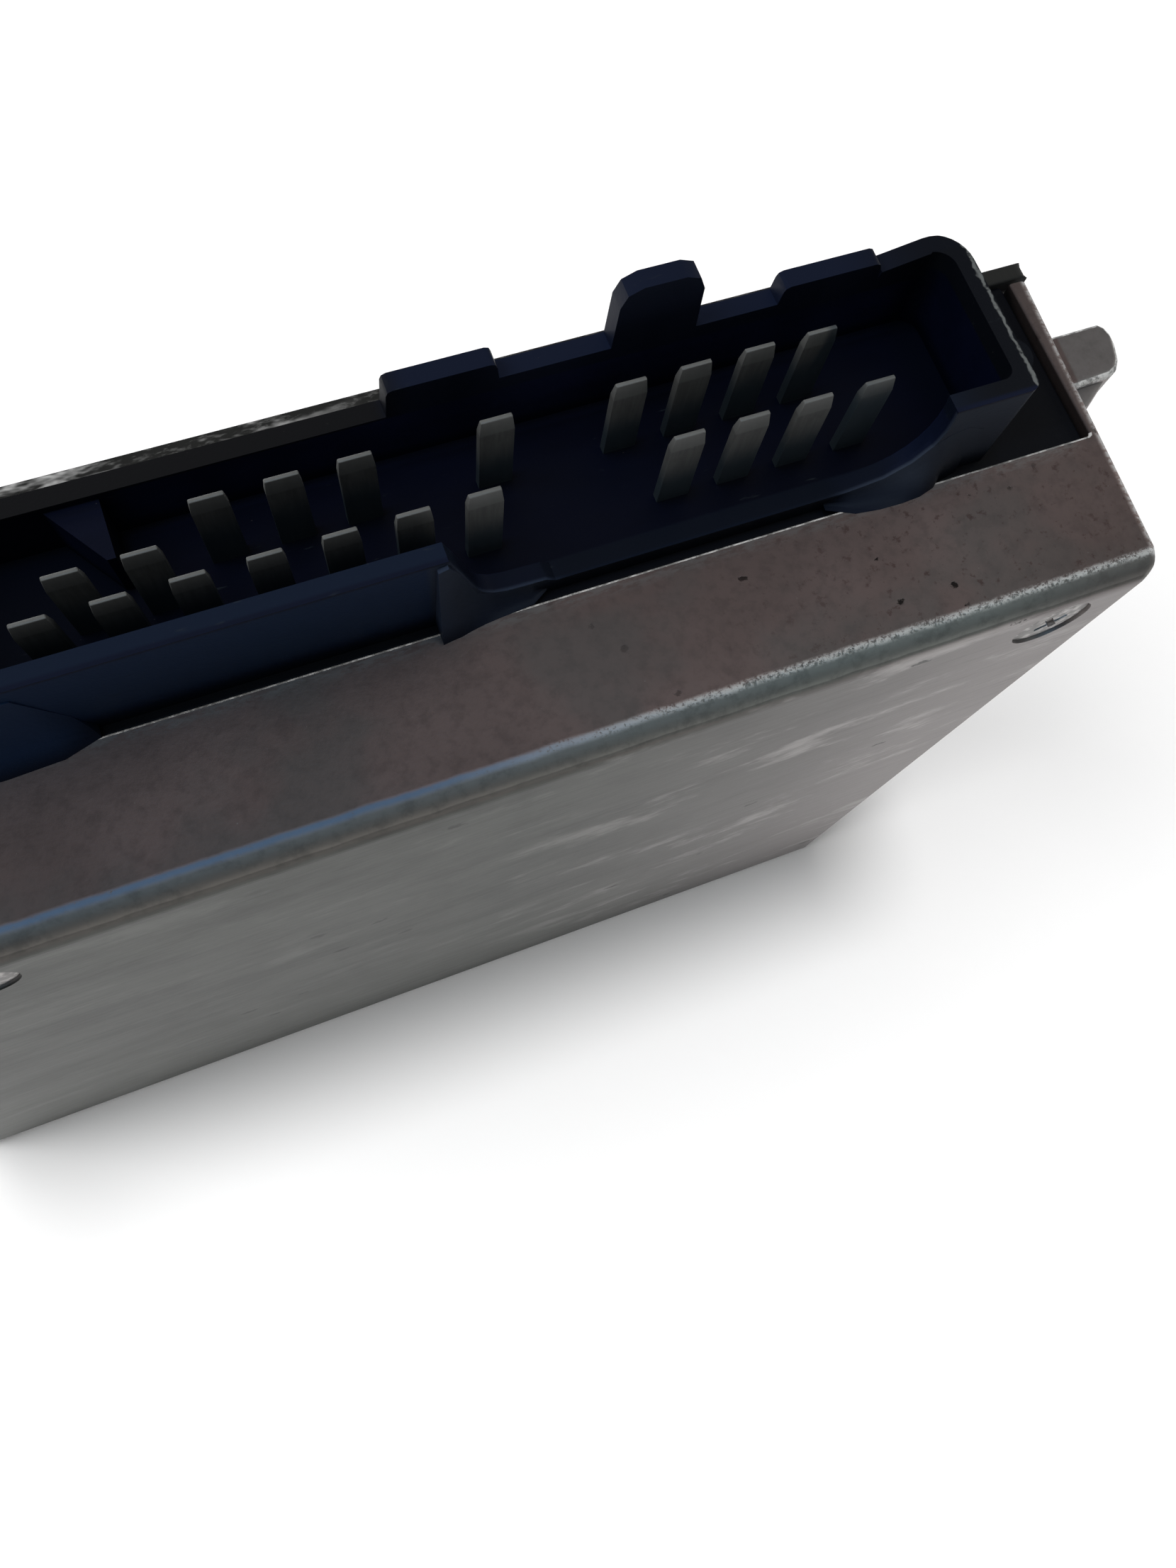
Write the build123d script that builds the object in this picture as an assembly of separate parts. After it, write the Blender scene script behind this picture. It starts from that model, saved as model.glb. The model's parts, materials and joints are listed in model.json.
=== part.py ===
"""Engine control unit: a die-cast aluminium tray with a pressed lid, a plug header and the circuit board.

Millimetres. The unit stands on its rear wall (z = 0) with the plug header on top. X runs along the
header, -Y is the side of the large plain face, +Y is the side of the lid, and Z points out of the header.
"""
import os
from math import radians, tan

from build123d import *

# Case
WIDTH = 135.0                  # tray across X, at its mouth
HEADER_TO_SIDE = 52.6          # header's middle to the right side, at the mouth; the left side is further off
DEPTH = 100.0                  # rear wall to connector face
THICKNESS = 33.5               # large face to the lid's raised field
DRAFT = 2.4                    # what the tray's width loses from mouth to large face
FACE_T = 2.0                   # wall of the large face
WALL_T = 2.3                   # side and rear walls
FRONT_T = 2.8                  # wall with the header's cut-out
EDGE_R = 2.2                   # rounding round the large face
CORNER_R = 1.2                 # upright corners
INNER_R = 2.0                  # upright corners of the tray's inside

# Lid
LID_T = 1.5
LID_RAISE = 3.65               # height of the raised field over the rim
LID_RIM = 8.2                  # rim beside the raised field
LID_TAPER = 22                 # slope of the field's shoulders, degrees
LID_FIELD_R = 4.0              # corners of the field
LID_OVERHANG = 0.35
SEAL_T = 0.4
SEAL_W = 1.3
SEAL_INSET = 0.45

# Header
PITCH = 5.0
LOWER_COUNT = 13
LOWER_EMPTY = (4, 5)
UPPER_COUNT = 12
UPPER_EMPTY = (4, 6)
SHIFTED = (10, 11)             # places of the upper row that sit half-way to the lower row
ROW_GAP = 5.1
STAGGER = 2.4                  # the upper row stands this much further left
LOWER_FROM_FACE = 17.7         # lower row to the large face
SHROUD_HALF = 41.6
SHROUD_T = 1.5
SHROUD_R = 3.0                 # corners at the far wall
SHROUD_NEAR_R = 1.0            # corners at the near wall
SHROUD_ABOVE_ROW = 10.65       # lower row to the outside of the far wall
SHROUD_BELOW_ROW = 4.05        # lower row to the outside of the near wall
RIM_H = 8.8                    # rim above the connector face
FAR_RIM_H = 7.3
LEFT_FAR_RIM_H = 6.2           # far wall left of the left tab
FLOOR_H = 1.0                  # socket floor above the connector face
FLANGE_SINK = 0.8              # flange face below the connector face
FLANGE_T = 3.2
FLANGE_R = 0.9                 # corners of the flange
RIM_STRIP = 1.3                # metal left beside the flange
CUT_FROM_FACE = 12.75          # lower edge of the cut-out to the large face
CUT_R = 1.0
CARRIER_T = 4.0                # block behind the flange that holds the contacts
CARRIER_MARGIN = 2.4           # round the contact rows
TONGUE_H = 7.0                 # strip behind the cut-out's edge, across Y
TONGUE_T = 1.2                 # how far it reaches behind the flange
TONGUE_BELOW = 3.0             # how far it reaches below the cut-out's edge
CLEAR = 0.1

# Keys and tabs of the header
TAB_W = 8.1
TAB_H = 9.0
TAB_R = 0.5
MIDDLE_TAB_X = 0.1             # middle of the left tab
END_TAB_FROM_END = 11.2        # middle of the right tab to the end of the socket
TALL_TAB_W = 6.4
TALL_TAB_H = 13.0
TALL_TAB_X = 16.2
TALL_TAB_R = 1.6
KEY_X = -24.3                  # upright side of the wedge-shaped key
KEY_W = 3.7
KEY_DROP = 4.6
KEY_BELOW_RIM = 0.6
TALL_NEAR_END = -3.8           # where the tall left part of the near wall ends
FALL = ((0.9, 2.4), (1.7, 5.1), (2.3, 6.3))    # its curved end, along and down from the rim
LEDGE_END = 3.6
LEDGE_H = 0.6
LOW_END_FROM_END = 13.3        # end of the low part to the end of the socket
RISE = ((3.1, 0.6), (5.1, 1.4), (6.1, 2.9))    # curved start of the tall right part, along and up
RISE_L = 6.4
RIB_OUT = 1.7                  # flared feet of the near wall, over the case's edge
RIB_TOP = 0.3                  # how far they stand out at the top
LEFT_RIB_W = 8.3
LEFT_RIB_FROM_END = 2.0
MIDDLE_RIB_W = 1.9
RIGHT_RIB_W = 7.6
RIGHT_RIB_FROM_END = 5.4
FOOT_RIB_H = 1.2               # low feet beside the curved ends
END_RIB_R = 1.6                # half-round rib on the right end wall

# Header's feet
FOOT_W = 7.2
FOOT_BELOW = 3.4               # dimple's centre to the foot's end
FOOT_BORE = 8.0

# Contacts
BLADE_W = 2.5
BLADE_T = 0.8
BLADE_H = 9.0                  # tip above the connector face
TIP_L = 1.3
TIP_T = 0.3
TIP_IN = 0.2                   # what the tip loses at each side
TAIL_W = 1.0
TAIL_T = 0.8
LEG_BACK = 3.0                 # first row of legs behind the carrier
LEG_ROW = 3.2                  # spacing of the rows of legs in the board

# Mounting lugs
LUG_OUT = 5.0
LUG_Y0 = 0.7                   # its two faces, above the middle of the thickness
LUG_Y1 = 5.8
LUG_L = 12.0
LUG_SINK = 0.6                 # below the connector face
LUG_HOLE_R = 1.6
LUG_NOSE_R = 1.4

# Screws and what they go into
DIMPLE_R = 3.3
DIMPLE_D = 1.0
DIMPLE_FROM_SIDE = 9.4
DIMPLE_SINK = 5.2              # dimple's centre below the connector face
DIMPLE_WALL = 1.2
HEADER_SCREW_R = 1.75
HEADER_HEAD_R = 2.8
HEADER_HEAD_H = 0.9
LID_SCREW_R = 1.5
LID_HEAD_R = 2.7
LID_HEAD_H = 1.8
LID_BOSS_R = 3.1
LID_SCREW_L = 9.0              # in the boss
LID_BOSS_WEB = 4.0
LID_BOSS_FROM_SIDE = 5.4
LID_BOSS_FROM_FRONT = 14.5
LID_BOSS_FROM_REAR = 5.6
BOARD_SCREW_R = 1.25
BOARD_HEAD_R = 2.6             # across the corners
BOARD_HEAD_H = 1.6
BOARD_SCREW_L = 4.0            # in the post
POST_R = 3.3
CLAMP_BOSS_R = 3.0
CLAMP_SCREW_L = 3.0            # in the boss
HIDDEN_SIDES = 6               # flats of shanks, hidden bosses and their holes

# Circuit board
BOARD_T = 1.6
BOARD_LIFT = 4.1               # solder side above the inside of the large face
BOARD_SIDE_GAP = 0.75          # to the side walls, at the large face
BOARD_REAR_GAP = 1.1
BOARD_FRONT_GAP = 0.2          # to the header's feet
BOSS_GAP = 0.5                 # board to the lid's bosses
POST_FROM_SIDE = 7.9
POST_FROM_FRONT = 13.2
POST_FROM_REAR = 8.6
LEG_THROUGH = 1.4              # legs stand out of the solder side
HOLE_R = 0.95                  # half across the corners
LEAD_R = 0.4
STAND_OFF = 0.2                # under the parts that stand on the board

# Transistors and their clamp
TO_W, TO_T, TO_H = 10.0, 4.5, 15.2
TO_TAB_T = 1.3
TO_BODY_H = 9.0
TO_HOLE_R = 1.8
TO_HOLE_DROP = 2.8
TO_LEG_PITCH = 2.54
TO_LEG_IN = 2.7                # legs in front of the tab's back
TO_LIFT = 3.5
TO_COUNT = 4
TO_PITCH = 16.0
TO_FROM_REAR = 14.6            # first transistor to the board's rear edge
PAD_T = 0.3
PAD_MARGIN = 1.0
CLAMP_T = 2.5
CLAMP_W = 7.0
CLAMP_R = 1.0

# Sizes of the parts with leads
CAN_R, CAN_H, CAN_EDGE = 6.5, 19.5, 0.6
FILM_L, FILM_H, FILM_W = 18.0, 12.0, 6.0
DRUM_R, DRUM_H, DRUM_EDGE, WINDING_R, DRUM_SIDES = 7.0, 13.0, 2.0, 5.6, 16
CEMENT_L, CEMENT_SIDE, CEMENT_LIFT = 22.0, 9.0, 1.0
DIODE_R, DIODE_L, DIODE_LIFT, DIODE_SIDES = 2.7, 9.4, 3.2, 12
CRYSTAL_L, CRYSTAL_W, CRYSTAL_H, CRYSTAL_FOOT = 10.0, 3.8, 12.6, 0.8

# Half the spacing of the two leads
LEAD_HALF = {"electrolytic": 2.5, "film": 7.5, "choke": 2.5, "resistor": 13.5, "diode": 7.6, "crystal": 2.45}

# Each part with leads: kind, edge that its X is measured from, X from there, Z from front or rear edge
LEADED = {"supply_capacitor_1": ("electrolytic", "right", 20.4, "front", 23.2),
          "supply_capacitor_2": ("electrolytic", "right", 20.4, "front", 38.2),
          "choke": ("choke", "right", 20.4, "front", 54.5),
          "film_capacitor_1": ("film", "left", 15.4, "front", 21.4),
          "film_capacitor_2": ("film", "left", 15.4, "front", 29.9),
          "crystal": ("crystal", "middle", 8.0, "front", 31.2),
          "power_resistor_1": ("resistor", "middle", -17.0, "rear", 6.6),
          "power_resistor_2": ("resistor", "middle", -17.0, "rear", 17.2),
          "diode_1": ("diode", "right", 22.4, "rear", 11.4),
          "diode_2": ("diode", "right", 22.4, "rear", 4.6)}

# Each chip: place as above, length, width, height, leads on its long and short sides
CHIPS = {"processor": ("middle", -12.0, "front", 44.4, 16.6, 16.6, 4.2, 10, 10),
         "program_memory": ("left", 10.6, "front", 44.4, 11.4, 14.0, 3.2, 6, 8),
         "signal_chip_1": ("middle", -6.0, "front", 23.2, 10.3, 7.5, 2.4, 7, 0),
         "signal_chip_2": ("middle", 9.5, "front", 46.6, 10.3, 7.5, 2.4, 7, 0)}
LEAD_PITCH = 1.27
LEAD_W = 0.5
LEAD_OUT = 0.7
CHIP_LIFT = 0.35
CHIP_EDGE = 0.5

# Worked out from the above
Y_FACE = -THICKNESS / 2
Y_TOP = THICKNESS / 2
Y_RIM = Y_TOP - LID_RAISE - LID_T       # underside of the lid's rim
Y_WALL = Y_RIM - SEAL_T                 # top of the tray's walls
Y_INNER = Y_FACE + FACE_T
HALF = WIDTH / 2
X_MID = HEADER_TO_SIDE - HALF           # middle of the case; the header's middle is at 0
Y_LOWER = Y_FACE + LOWER_FROM_FACE
Y_UPPER = Y_LOWER + ROW_GAP
Y_SHIFTED = Y_LOWER + ROW_GAP / 2
Y_CUT = Y_FACE + CUT_FROM_FACE
Y_NEAR = Y_LOWER - SHROUD_BELOW_ROW
Y_FAR = Y_LOWER + SHROUD_ABOVE_ROW
X_LOWER = PITCH * (LOWER_COUNT - 1) / 2
X_UPPER = X_LOWER - STAGGER
FLANGE_HALF = HEADER_TO_SIDE - RIM_STRIP
Z_FLOOR = DEPTH + FLOOR_H
Z_FLANGE = DEPTH - FLANGE_SINK
Z_FLANGE_BACK = Z_FLANGE - FLANGE_T
Z_CARRIER = Z_FLANGE_BACK - CARRIER_T
Z_BEHIND_FRONT = DEPTH - FRONT_T - CLEAR
Z_DIMPLE = DEPTH - DIMPLE_SINK
X_DIMPLE = HEADER_TO_SIDE - DIMPLE_FROM_SIDE
Y_DIMPLE = Y_FACE + DIMPLE_D            # seat of the header's screws
Y_DIMPLE_BACK = Y_INNER + DIMPLE_D
Y_SOLDER = Y_INNER + BOARD_LIFT
Y_BOARD = Y_SOLDER + BOARD_T            # component side
SIDE_SLOPE = DRAFT / 2 / (Y_WALL - Y_FACE)
SIDE_LOW = HALF - SIDE_SLOPE * (Y_WALL - Y_INNER) - WALL_T      # side walls' inside at the large face, from X_MID
SIDE_HIGH = HALF - WALL_T
X_WALL = X_MID + SIDE_LOW               # the same inside of the right wall
BOARD_HALF = SIDE_LOW - BOARD_SIDE_GAP
BOARD_Z0 = WALL_T + BOARD_REAR_GAP
BOARD_Z1 = Z_DIMPLE - FOOT_BELOW - BOARD_FRONT_GAP
POSTS = [(X_MID + side * (BOARD_HALF - POST_FROM_SIDE), z)
         for z in (BOARD_Z1 - POST_FROM_FRONT, BOARD_Z0 + POST_FROM_REAR) for side in (-1, 1)]
LID_BOSSES = [(X_MID + side * (HALF - LID_BOSS_FROM_SIDE), z)
              for z in (DEPTH - LID_BOSS_FROM_FRONT, LID_BOSS_FROM_REAR) for side in (-1, 1)]
TO_PLACES = [BOARD_Z0 + TO_FROM_REAR + TO_PITCH * k for k in range(TO_COUNT)]
TO_LEGS = (-TO_LEG_PITCH, 0.0, TO_LEG_PITCH)
TO_FOOT = Y_BOARD + TO_LIFT
TO_BACK_X = X_WALL - PAD_T
TO_LEG_X = TO_BACK_X - TO_LEG_IN
CLAMP_SCREWS = [z + TO_PITCH / 2 for z in TO_PLACES[0::2]]
CLAMP_SEAT = TO_BACK_X - TO_T
CLAMP_Y = TO_FOOT + TO_BODY_H / 2


def block(x0, x1, y0, y1, z0, z1):
    """Box between two corners."""
    middle = ((x0 + x1) / 2, (y0 + y1) / 2, (z0 + z1) / 2)
    return Pos(*middle) * Box(x1 - x0, y1 - y0, z1 - z0)


def rod_y(x, z, radius, y0, y1, sides=0):
    """Round bar along Y, or a bar with so many flat sides."""
    if sides:
        return Pos(x, y0, z) * Rot(X=-90) * extrude(RegularPolygon(radius, sides), y1 - y0)
    return Pos(x, (y0 + y1) / 2, z) * Rot(X=-90) * Cylinder(radius, y1 - y0)


def rod_x(y, z, radius, x0, x1, sides=0):
    """Round bar along X, or a bar with so many flat sides."""
    if sides:
        return Pos(x0, y, z) * Rot(Y=90) * extrude(RegularPolygon(radius, sides), x1 - x0)
    return Pos((x0 + x1) / 2, y, z) * Rot(Y=90) * Cylinder(radius, x1 - x0)


def turned_y(x, z, y0, profile):
    """Solid turned about an axis along Y, from (radius, height) points that start and end on the axis."""
    outline = make_face(Polyline(*[(r, 0, h) for r, h in profile], close=True))
    return Pos(x, y0, z) * Rot(X=-90) * revolve(outline, Axis.Z)


def prism_z(points, z0, z1):
    """Outline in X and Y, raised along Z."""
    return Pos(0, 0, z0) * extrude(make_face(Polyline(*points, close=True)), z1 - z0)


def prism_x(points, x0, x1):
    """Outline in Y and Z, raised along X."""
    outline = Polyline(*[(x0, y, z) for y, z in points], close=True)
    return extrude(make_face(outline), x1 - x0, dir=(1, 0, 0))


def prism_y(points, y0, y1):
    """Outline in X and Z, raised along Y."""
    outline = Polyline(*[(x, y0, z) for x, z in points], close=True)
    return extrude(make_face(outline), y1 - y0, dir=(0, 1, 0))


def along(solid, way, least=0.9):
    """Edges of a solid that run about along an axis, drafted ones too."""
    return [e for e in solid.edges() if abs(e.tangent_at(0.5).dot(Vector(*way))) > least]


def side_x(y):
    """Half of the tray's drafted width at a height y."""
    return HALF - SIDE_SLOPE * (Y_WALL - y)


def side_of(x):
    """1 on the right of the case's middle and -1 on the left."""
    return 1 if x > X_MID else -1


def housing():
    """Die-cast tray, open towards the lid, with the header's cut-out in its front wall."""
    half_face = side_x(Y_FACE)
    tray = prism_z([(X_MID - half_face, Y_FACE), (X_MID + half_face, Y_FACE), (X_MID + HALF, Y_WALL),
                    (X_MID - HALF, Y_WALL)], 0, DEPTH)
    tray = fillet(along(tray, (0, 1, 0)), CORNER_R)
    tray = fillet(tray.faces().sort_by(Axis.Y)[0].edges(), EDGE_R)
    cavity = prism_z([(X_MID - SIDE_LOW, Y_INNER), (X_WALL, Y_INNER), (X_MID + SIDE_HIGH, Y_WALL),
                      (X_MID - SIDE_HIGH, Y_WALL)], WALL_T, DEPTH - FRONT_T)
    tray -= fillet(along(cavity, (0, 1, 0)), INNER_R)
    root = FACE_T / 4                     # how deep bosses start in the wall, so that they join it
    for x, z in POSTS:
        tray += rod_y(x, z, POST_R, Y_INNER - root, Y_SOLDER, HIDDEN_SIDES)
    for x, z in LID_BOSSES:
        tray += rod_y(x, z, LID_BOSS_R, Y_INNER - root, Y_WALL, HIDDEN_SIDES)
        wall = X_MID + side_of(x) * (SIDE_LOW + WALL_T / 4)
        tray += block(*sorted((x, wall)), Y_INNER - root, Y_WALL, z - LID_BOSS_WEB / 2, z + LID_BOSS_WEB / 2)
    for z in CLAMP_SCREWS:
        tray += rod_x(CLAMP_Y, z, CLAMP_BOSS_R, CLAMP_SEAT, X_WALL + WALL_T / 4, HIDDEN_SIDES)
    for side in (-1, 1):
        backing = rod_y(side * X_DIMPLE, Z_DIMPLE, DIMPLE_R + DIMPLE_WALL, Y_INNER - root, Y_DIMPLE_BACK)
        tray += backing & block(X_MID - HALF, X_MID + HALF, Y_FACE, Y_TOP, 0, DEPTH - FRONT_T + root)
        tray += lug(side)
    cut = block(-FLANGE_HALF, FLANGE_HALF, Y_CUT, Y_WALL + 1, Z_FLANGE_BACK, DEPTH + 1)
    tray -= fillet(along(cut, (0, 0, 1)), CUT_R)
    for x, z in POSTS:
        tray -= rod_y(x, z, BOARD_SCREW_R, Y_SOLDER - BOARD_SCREW_L, Y_SOLDER, HIDDEN_SIDES)
    for x, z in LID_BOSSES:
        tray -= rod_y(x, z, LID_SCREW_R, Y_WALL - LID_SCREW_L, Y_WALL, HIDDEN_SIDES)
    for z in CLAMP_SCREWS:
        tray -= rod_x(CLAMP_Y, z, BOARD_SCREW_R, CLAMP_SEAT, CLAMP_SEAT + CLAMP_SCREW_L, HIDDEN_SIDES)
    for side in (-1, 1):
        tray -= rod_y(side * X_DIMPLE, Z_DIMPLE, DIMPLE_R, Y_FACE, Y_DIMPLE)
        tray -= rod_y(side * X_DIMPLE, Z_DIMPLE, HEADER_SCREW_R, Y_DIMPLE, Y_DIMPLE_BACK, HIDDEN_SIDES)
    return tray


def lug(side):
    """Mounting lug cast on a side wall, with a rounded nose and a screw hole along Y."""
    z1 = DEPTH - LUG_SINK
    bar = block(HALF - WALL_T / 2, HALF + LUG_OUT, LUG_Y0, LUG_Y1, z1 - LUG_L, z1)
    bar = fillet(bar.edges().filter_by(Axis.X).group_by(Axis.Y)[0], LUG_NOSE_R)
    bar -= rod_y(HALF + LUG_OUT / 2, z1 - LUG_L / 3, LUG_HOLE_R, LUG_Y0, LUG_Y1)
    return Pos(X_MID, 0, 0) * (bar if side > 0 else mirror(bar, Plane.YZ))


def field_half():
    """Half-width of the lid's raised field where it leaves the rim, measured at the rim's underside less 1 mm."""
    return HEADER_TO_SIDE - LID_RIM + tan(radians(LID_TAPER))


def lid_field(inset, height):
    """Raised field with sloping shoulders, running out beyond the front edge."""
    z0, z1 = LID_RIM - tan(radians(LID_TAPER)) + inset, DEPTH * 1.5
    outline = RectangleRounded(2 * (field_half() - inset), z1 - z0, LID_FIELD_R)
    return extrude(Pos(0, Y_RIM - 1, (z0 + z1) / 2) * Rot(X=-90) * outline, height + 1, dir=(0, 1, 0), taper=LID_TAPER)


def lid():
    """Pressed lid: a flat rim on the tray's walls and a raised field that is open at the front."""
    half = HALF + LID_OVERHANG
    rim = block(X_MID - half, X_MID + half, Y_RIM, Y_RIM + LID_T, 0, DEPTH)
    rim = fillet(along(rim, (0, 1, 0)), CORNER_R)
    field = lid_field(0, LID_RAISE + LID_T) & block(X_MID - half, X_MID + half, Y_RIM, Y_TOP + 1, 0, DEPTH)
    cover = rim + field - lid_field(LID_T, LID_RAISE)
    for x, z in LID_BOSSES:
        cover -= rod_y(x, z, LID_SCREW_R, Y_RIM, Y_RIM + LID_T, HIDDEN_SIDES)
    return cover


def lid_seal():
    """Flat seal on the tops of the side and rear walls, and of the front wall left of the cut-out."""
    left, right, front = X_MID - HALF + SEAL_INSET, X_MID + HALF - SEAL_INSET, DEPTH - SEAL_INSET
    frame = block(left, right, Y_WALL, Y_RIM, SEAL_INSET, Z_FLANGE_BACK)
    frame -= block(left + SEAL_W, right - SEAL_W, Y_WALL, Y_RIM, SEAL_INSET + SEAL_W, DEPTH)
    corner = block(left, -FLANGE_HALF, Y_WALL, Y_RIM, Z_FLANGE_BACK - SEAL_W, front)
    return frame + corner - block(left + SEAL_W, X_MID, Y_WALL, Y_RIM, SEAL_INSET + SEAL_W, front - SEAL_W)


def contact_places():
    """Name, x, y and leg row of each contact."""
    places = []
    for k in range(LOWER_COUNT):
        if k not in LOWER_EMPTY:
            places.append((f"contact_lower_{k + 1:02d}", X_LOWER - PITCH * k, Y_LOWER, 0))
    for k in range(UPPER_COUNT):
        if k not in UPPER_EMPTY:
            y = Y_SHIFTED if k in SHIFTED else Y_UPPER
            places.append((f"contact_upper_{k + 1:02d}", X_UPPER - PITCH * k, y, 1))
    return places


def leg_z(row):
    """Where a row's legs go down into the board."""
    return Z_CARRIER - LEG_BACK - LEG_ROW * row


def contact(x, y, row):
    """Blade contact with a tapered tip, bent down behind the header into the board."""
    z_tip, z_leg = DEPTH + BLADE_H, leg_z(row)
    side = prism_x([(y - BLADE_T / 2, Z_FLANGE_BACK), (y + BLADE_T / 2, Z_FLANGE_BACK),
                    (y + BLADE_T / 2, z_tip - TIP_L), (y + TIP_T / 2, z_tip), (y - TIP_T / 2, z_tip),
                    (y - BLADE_T / 2, z_tip - TIP_L)], x - BLADE_W / 2, x + BLADE_W / 2)
    front = prism_y([(x - BLADE_W / 2, Z_FLANGE_BACK), (x + BLADE_W / 2, Z_FLANGE_BACK),
                     (x + BLADE_W / 2, z_tip - TIP_L), (x + BLADE_W / 2 - TIP_IN, z_tip),
                     (x - BLADE_W / 2 + TIP_IN, z_tip), (x - BLADE_W / 2, z_tip - TIP_L)],
                    y - BLADE_T, y + BLADE_T)
    low = Y_SOLDER - LEG_THROUGH
    tail = prism_x([(y + TAIL_T / 2, Z_FLANGE_BACK), (y + TAIL_T / 2, z_leg), (y, z_leg - TAIL_T / 2),
                    (low, z_leg - TAIL_T / 2), (low, z_leg + TAIL_T / 2), (y - TAIL_T / 2, z_leg + TAIL_T / 2),
                    (y - TAIL_T / 2, Z_FLANGE_BACK)], x - TAIL_W / 2, x + TAIL_W / 2)
    return (side & front) + tail


def near_wall_shape():
    """Outline in X and Z of the near wall: tall at the left, low in the middle, rising at the right end."""
    rim, low_end = DEPTH + RIM_H, SHROUD_HALF - LOW_END_FROM_END
    fall = [(TALL_NEAR_END + dx, rim - dz) for dx, dz in FALL]
    rise = [(low_end + dx, Z_FLOOR + dz) for dx, dz in RISE]
    ledge = Z_FLOOR + LEDGE_H
    return [(-SHROUD_HALF, Z_FLANGE), (-SHROUD_HALF, rim), (TALL_NEAR_END, rim), *fall,
            (TALL_NEAR_END + RIM_H / 2.6, ledge), (LEDGE_END, ledge), (LEDGE_END, Z_FLOOR),
            (low_end, Z_FLOOR), *rise, (low_end + RISE_L, rim), (SHROUD_HALF, rim), (SHROUD_HALF, Z_FLANGE)]


def socket_block(inset, z0, z1):
    """Block with the socket's outline moved inwards; its corners at the far wall are the larger ones."""
    body = block(inset - SHROUD_HALF, SHROUD_HALF - inset, Y_NEAR + inset, Y_FAR - inset, z0, z1)
    body = fillet([e for e in along(body, (0, 0, 1)) if e.center().Y > Y_LOWER], SHROUD_R - inset)
    return fillet([e for e in along(body, (0, 0, 1)) if e.center().Y < Y_LOWER], SHROUD_NEAR_R)


def header():
    """Moulded plug header: flange in the cut-out, walled socket with keys, carrier and two feet."""
    half, low = FLANGE_HALF - CLEAR, Y_CUT + CLEAR
    lean = tan(radians(LID_TAPER))
    at_rim = field_half() - LID_T - lean - CLEAR
    at_top = at_rim - lean * LID_RAISE
    body = prism_z([(-half, low), (half, low), (half, Y_RIM), (at_rim, Y_RIM), (at_top, Y_TOP - LID_T),
                    (-at_top, Y_TOP - LID_T), (-at_rim, Y_RIM), (-half, Y_RIM)], Z_FLANGE_BACK, Z_FLANGE)
    body = fillet([e for e in along(body, (0, 0, 1)) if abs(e.center().X) > half - CLEAR], FLANGE_R)
    shroud = socket_block(0, Z_FLANGE, DEPTH + TALL_TAB_H) - socket_block(SHROUD_T, Z_FLOOR, DEPTH + TALL_TAB_H)
    body += shroud & header_envelope()
    body += header_keys()
    row_half = X_LOWER + BLADE_W / 2 + CARRIER_MARGIN
    body += block(-row_half, row_half, Y_LOWER - CARRIER_MARGIN, Y_UPPER + CARRIER_MARGIN, Z_CARRIER, Z_FLANGE_BACK)
    tongue = X_DIMPLE + FOOT_W / 2
    body += block(-tongue, tongue, Y_CUT - TONGUE_BELOW, Y_CUT - TONGUE_BELOW + TONGUE_H, Z_FLANGE_BACK - TONGUE_T,
                  Z_FLANGE_BACK)
    body += block(-tongue, tongue, Y_CUT - TONGUE_BELOW, low, Z_FLANGE_BACK - TONGUE_T, Z_BEHIND_FRONT)
    for side in (-1, 1):
        x = side * X_DIMPLE
        body += block(x - FOOT_W / 2, x + FOOT_W / 2, Y_DIMPLE_BACK, low, Z_DIMPLE - FOOT_BELOW, Z_BEHIND_FRONT)
        body -= rod_y(x, Z_DIMPLE, HEADER_SCREW_R, Y_DIMPLE_BACK, Y_DIMPLE_BACK + FOOT_BORE, HIDDEN_SIDES)
    for _, x, y, _ in contact_places():
        body -= block(x - BLADE_W / 2, x + BLADE_W / 2, y - BLADE_T / 2, y + BLADE_T / 2, Z_FLANGE_BACK, Z_FLOOR)
        body -= block(x - TAIL_W / 2, x + TAIL_W / 2, y - TAIL_T / 2, y + TAIL_T / 2, Z_CARRIER, Z_FLANGE_BACK)
    return body


def header_envelope():
    """What is left of the socket's walls after their rims are cut to height, with the tabs of the far wall."""
    inner_near, inner_far = Y_NEAR + SHROUD_T, Y_FAR - SHROUD_T
    keep = prism_y(near_wall_shape(), Y_NEAR, inner_near)
    keep += block(-SHROUD_HALF, SHROUD_HALF, inner_near, inner_far, Z_FLANGE, DEPTH + RIM_H)
    keep += block(-SHROUD_HALF, MIDDLE_TAB_X, inner_far, Y_FAR, Z_FLANGE, DEPTH + LEFT_FAR_RIM_H)
    keep += block(MIDDLE_TAB_X, SHROUD_HALF, inner_far, Y_FAR, Z_FLANGE, DEPTH + FAR_RIM_H)
    for middle, width, height, radius in ((MIDDLE_TAB_X, TAB_W, TAB_H, TAB_R),
                                          (SHROUD_HALF - END_TAB_FROM_END, TAB_W, TAB_H, TAB_R),
                                          (TALL_TAB_X, TALL_TAB_W, TALL_TAB_H, TALL_TAB_R)):
        tab = block(middle - width / 2, middle + width / 2, inner_far, Y_FAR, DEPTH, DEPTH + height)
        keep += fillet(tab.edges().filter_by(Axis.Y).group_by(Axis.Z)[-1], radius)
    return keep


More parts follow.
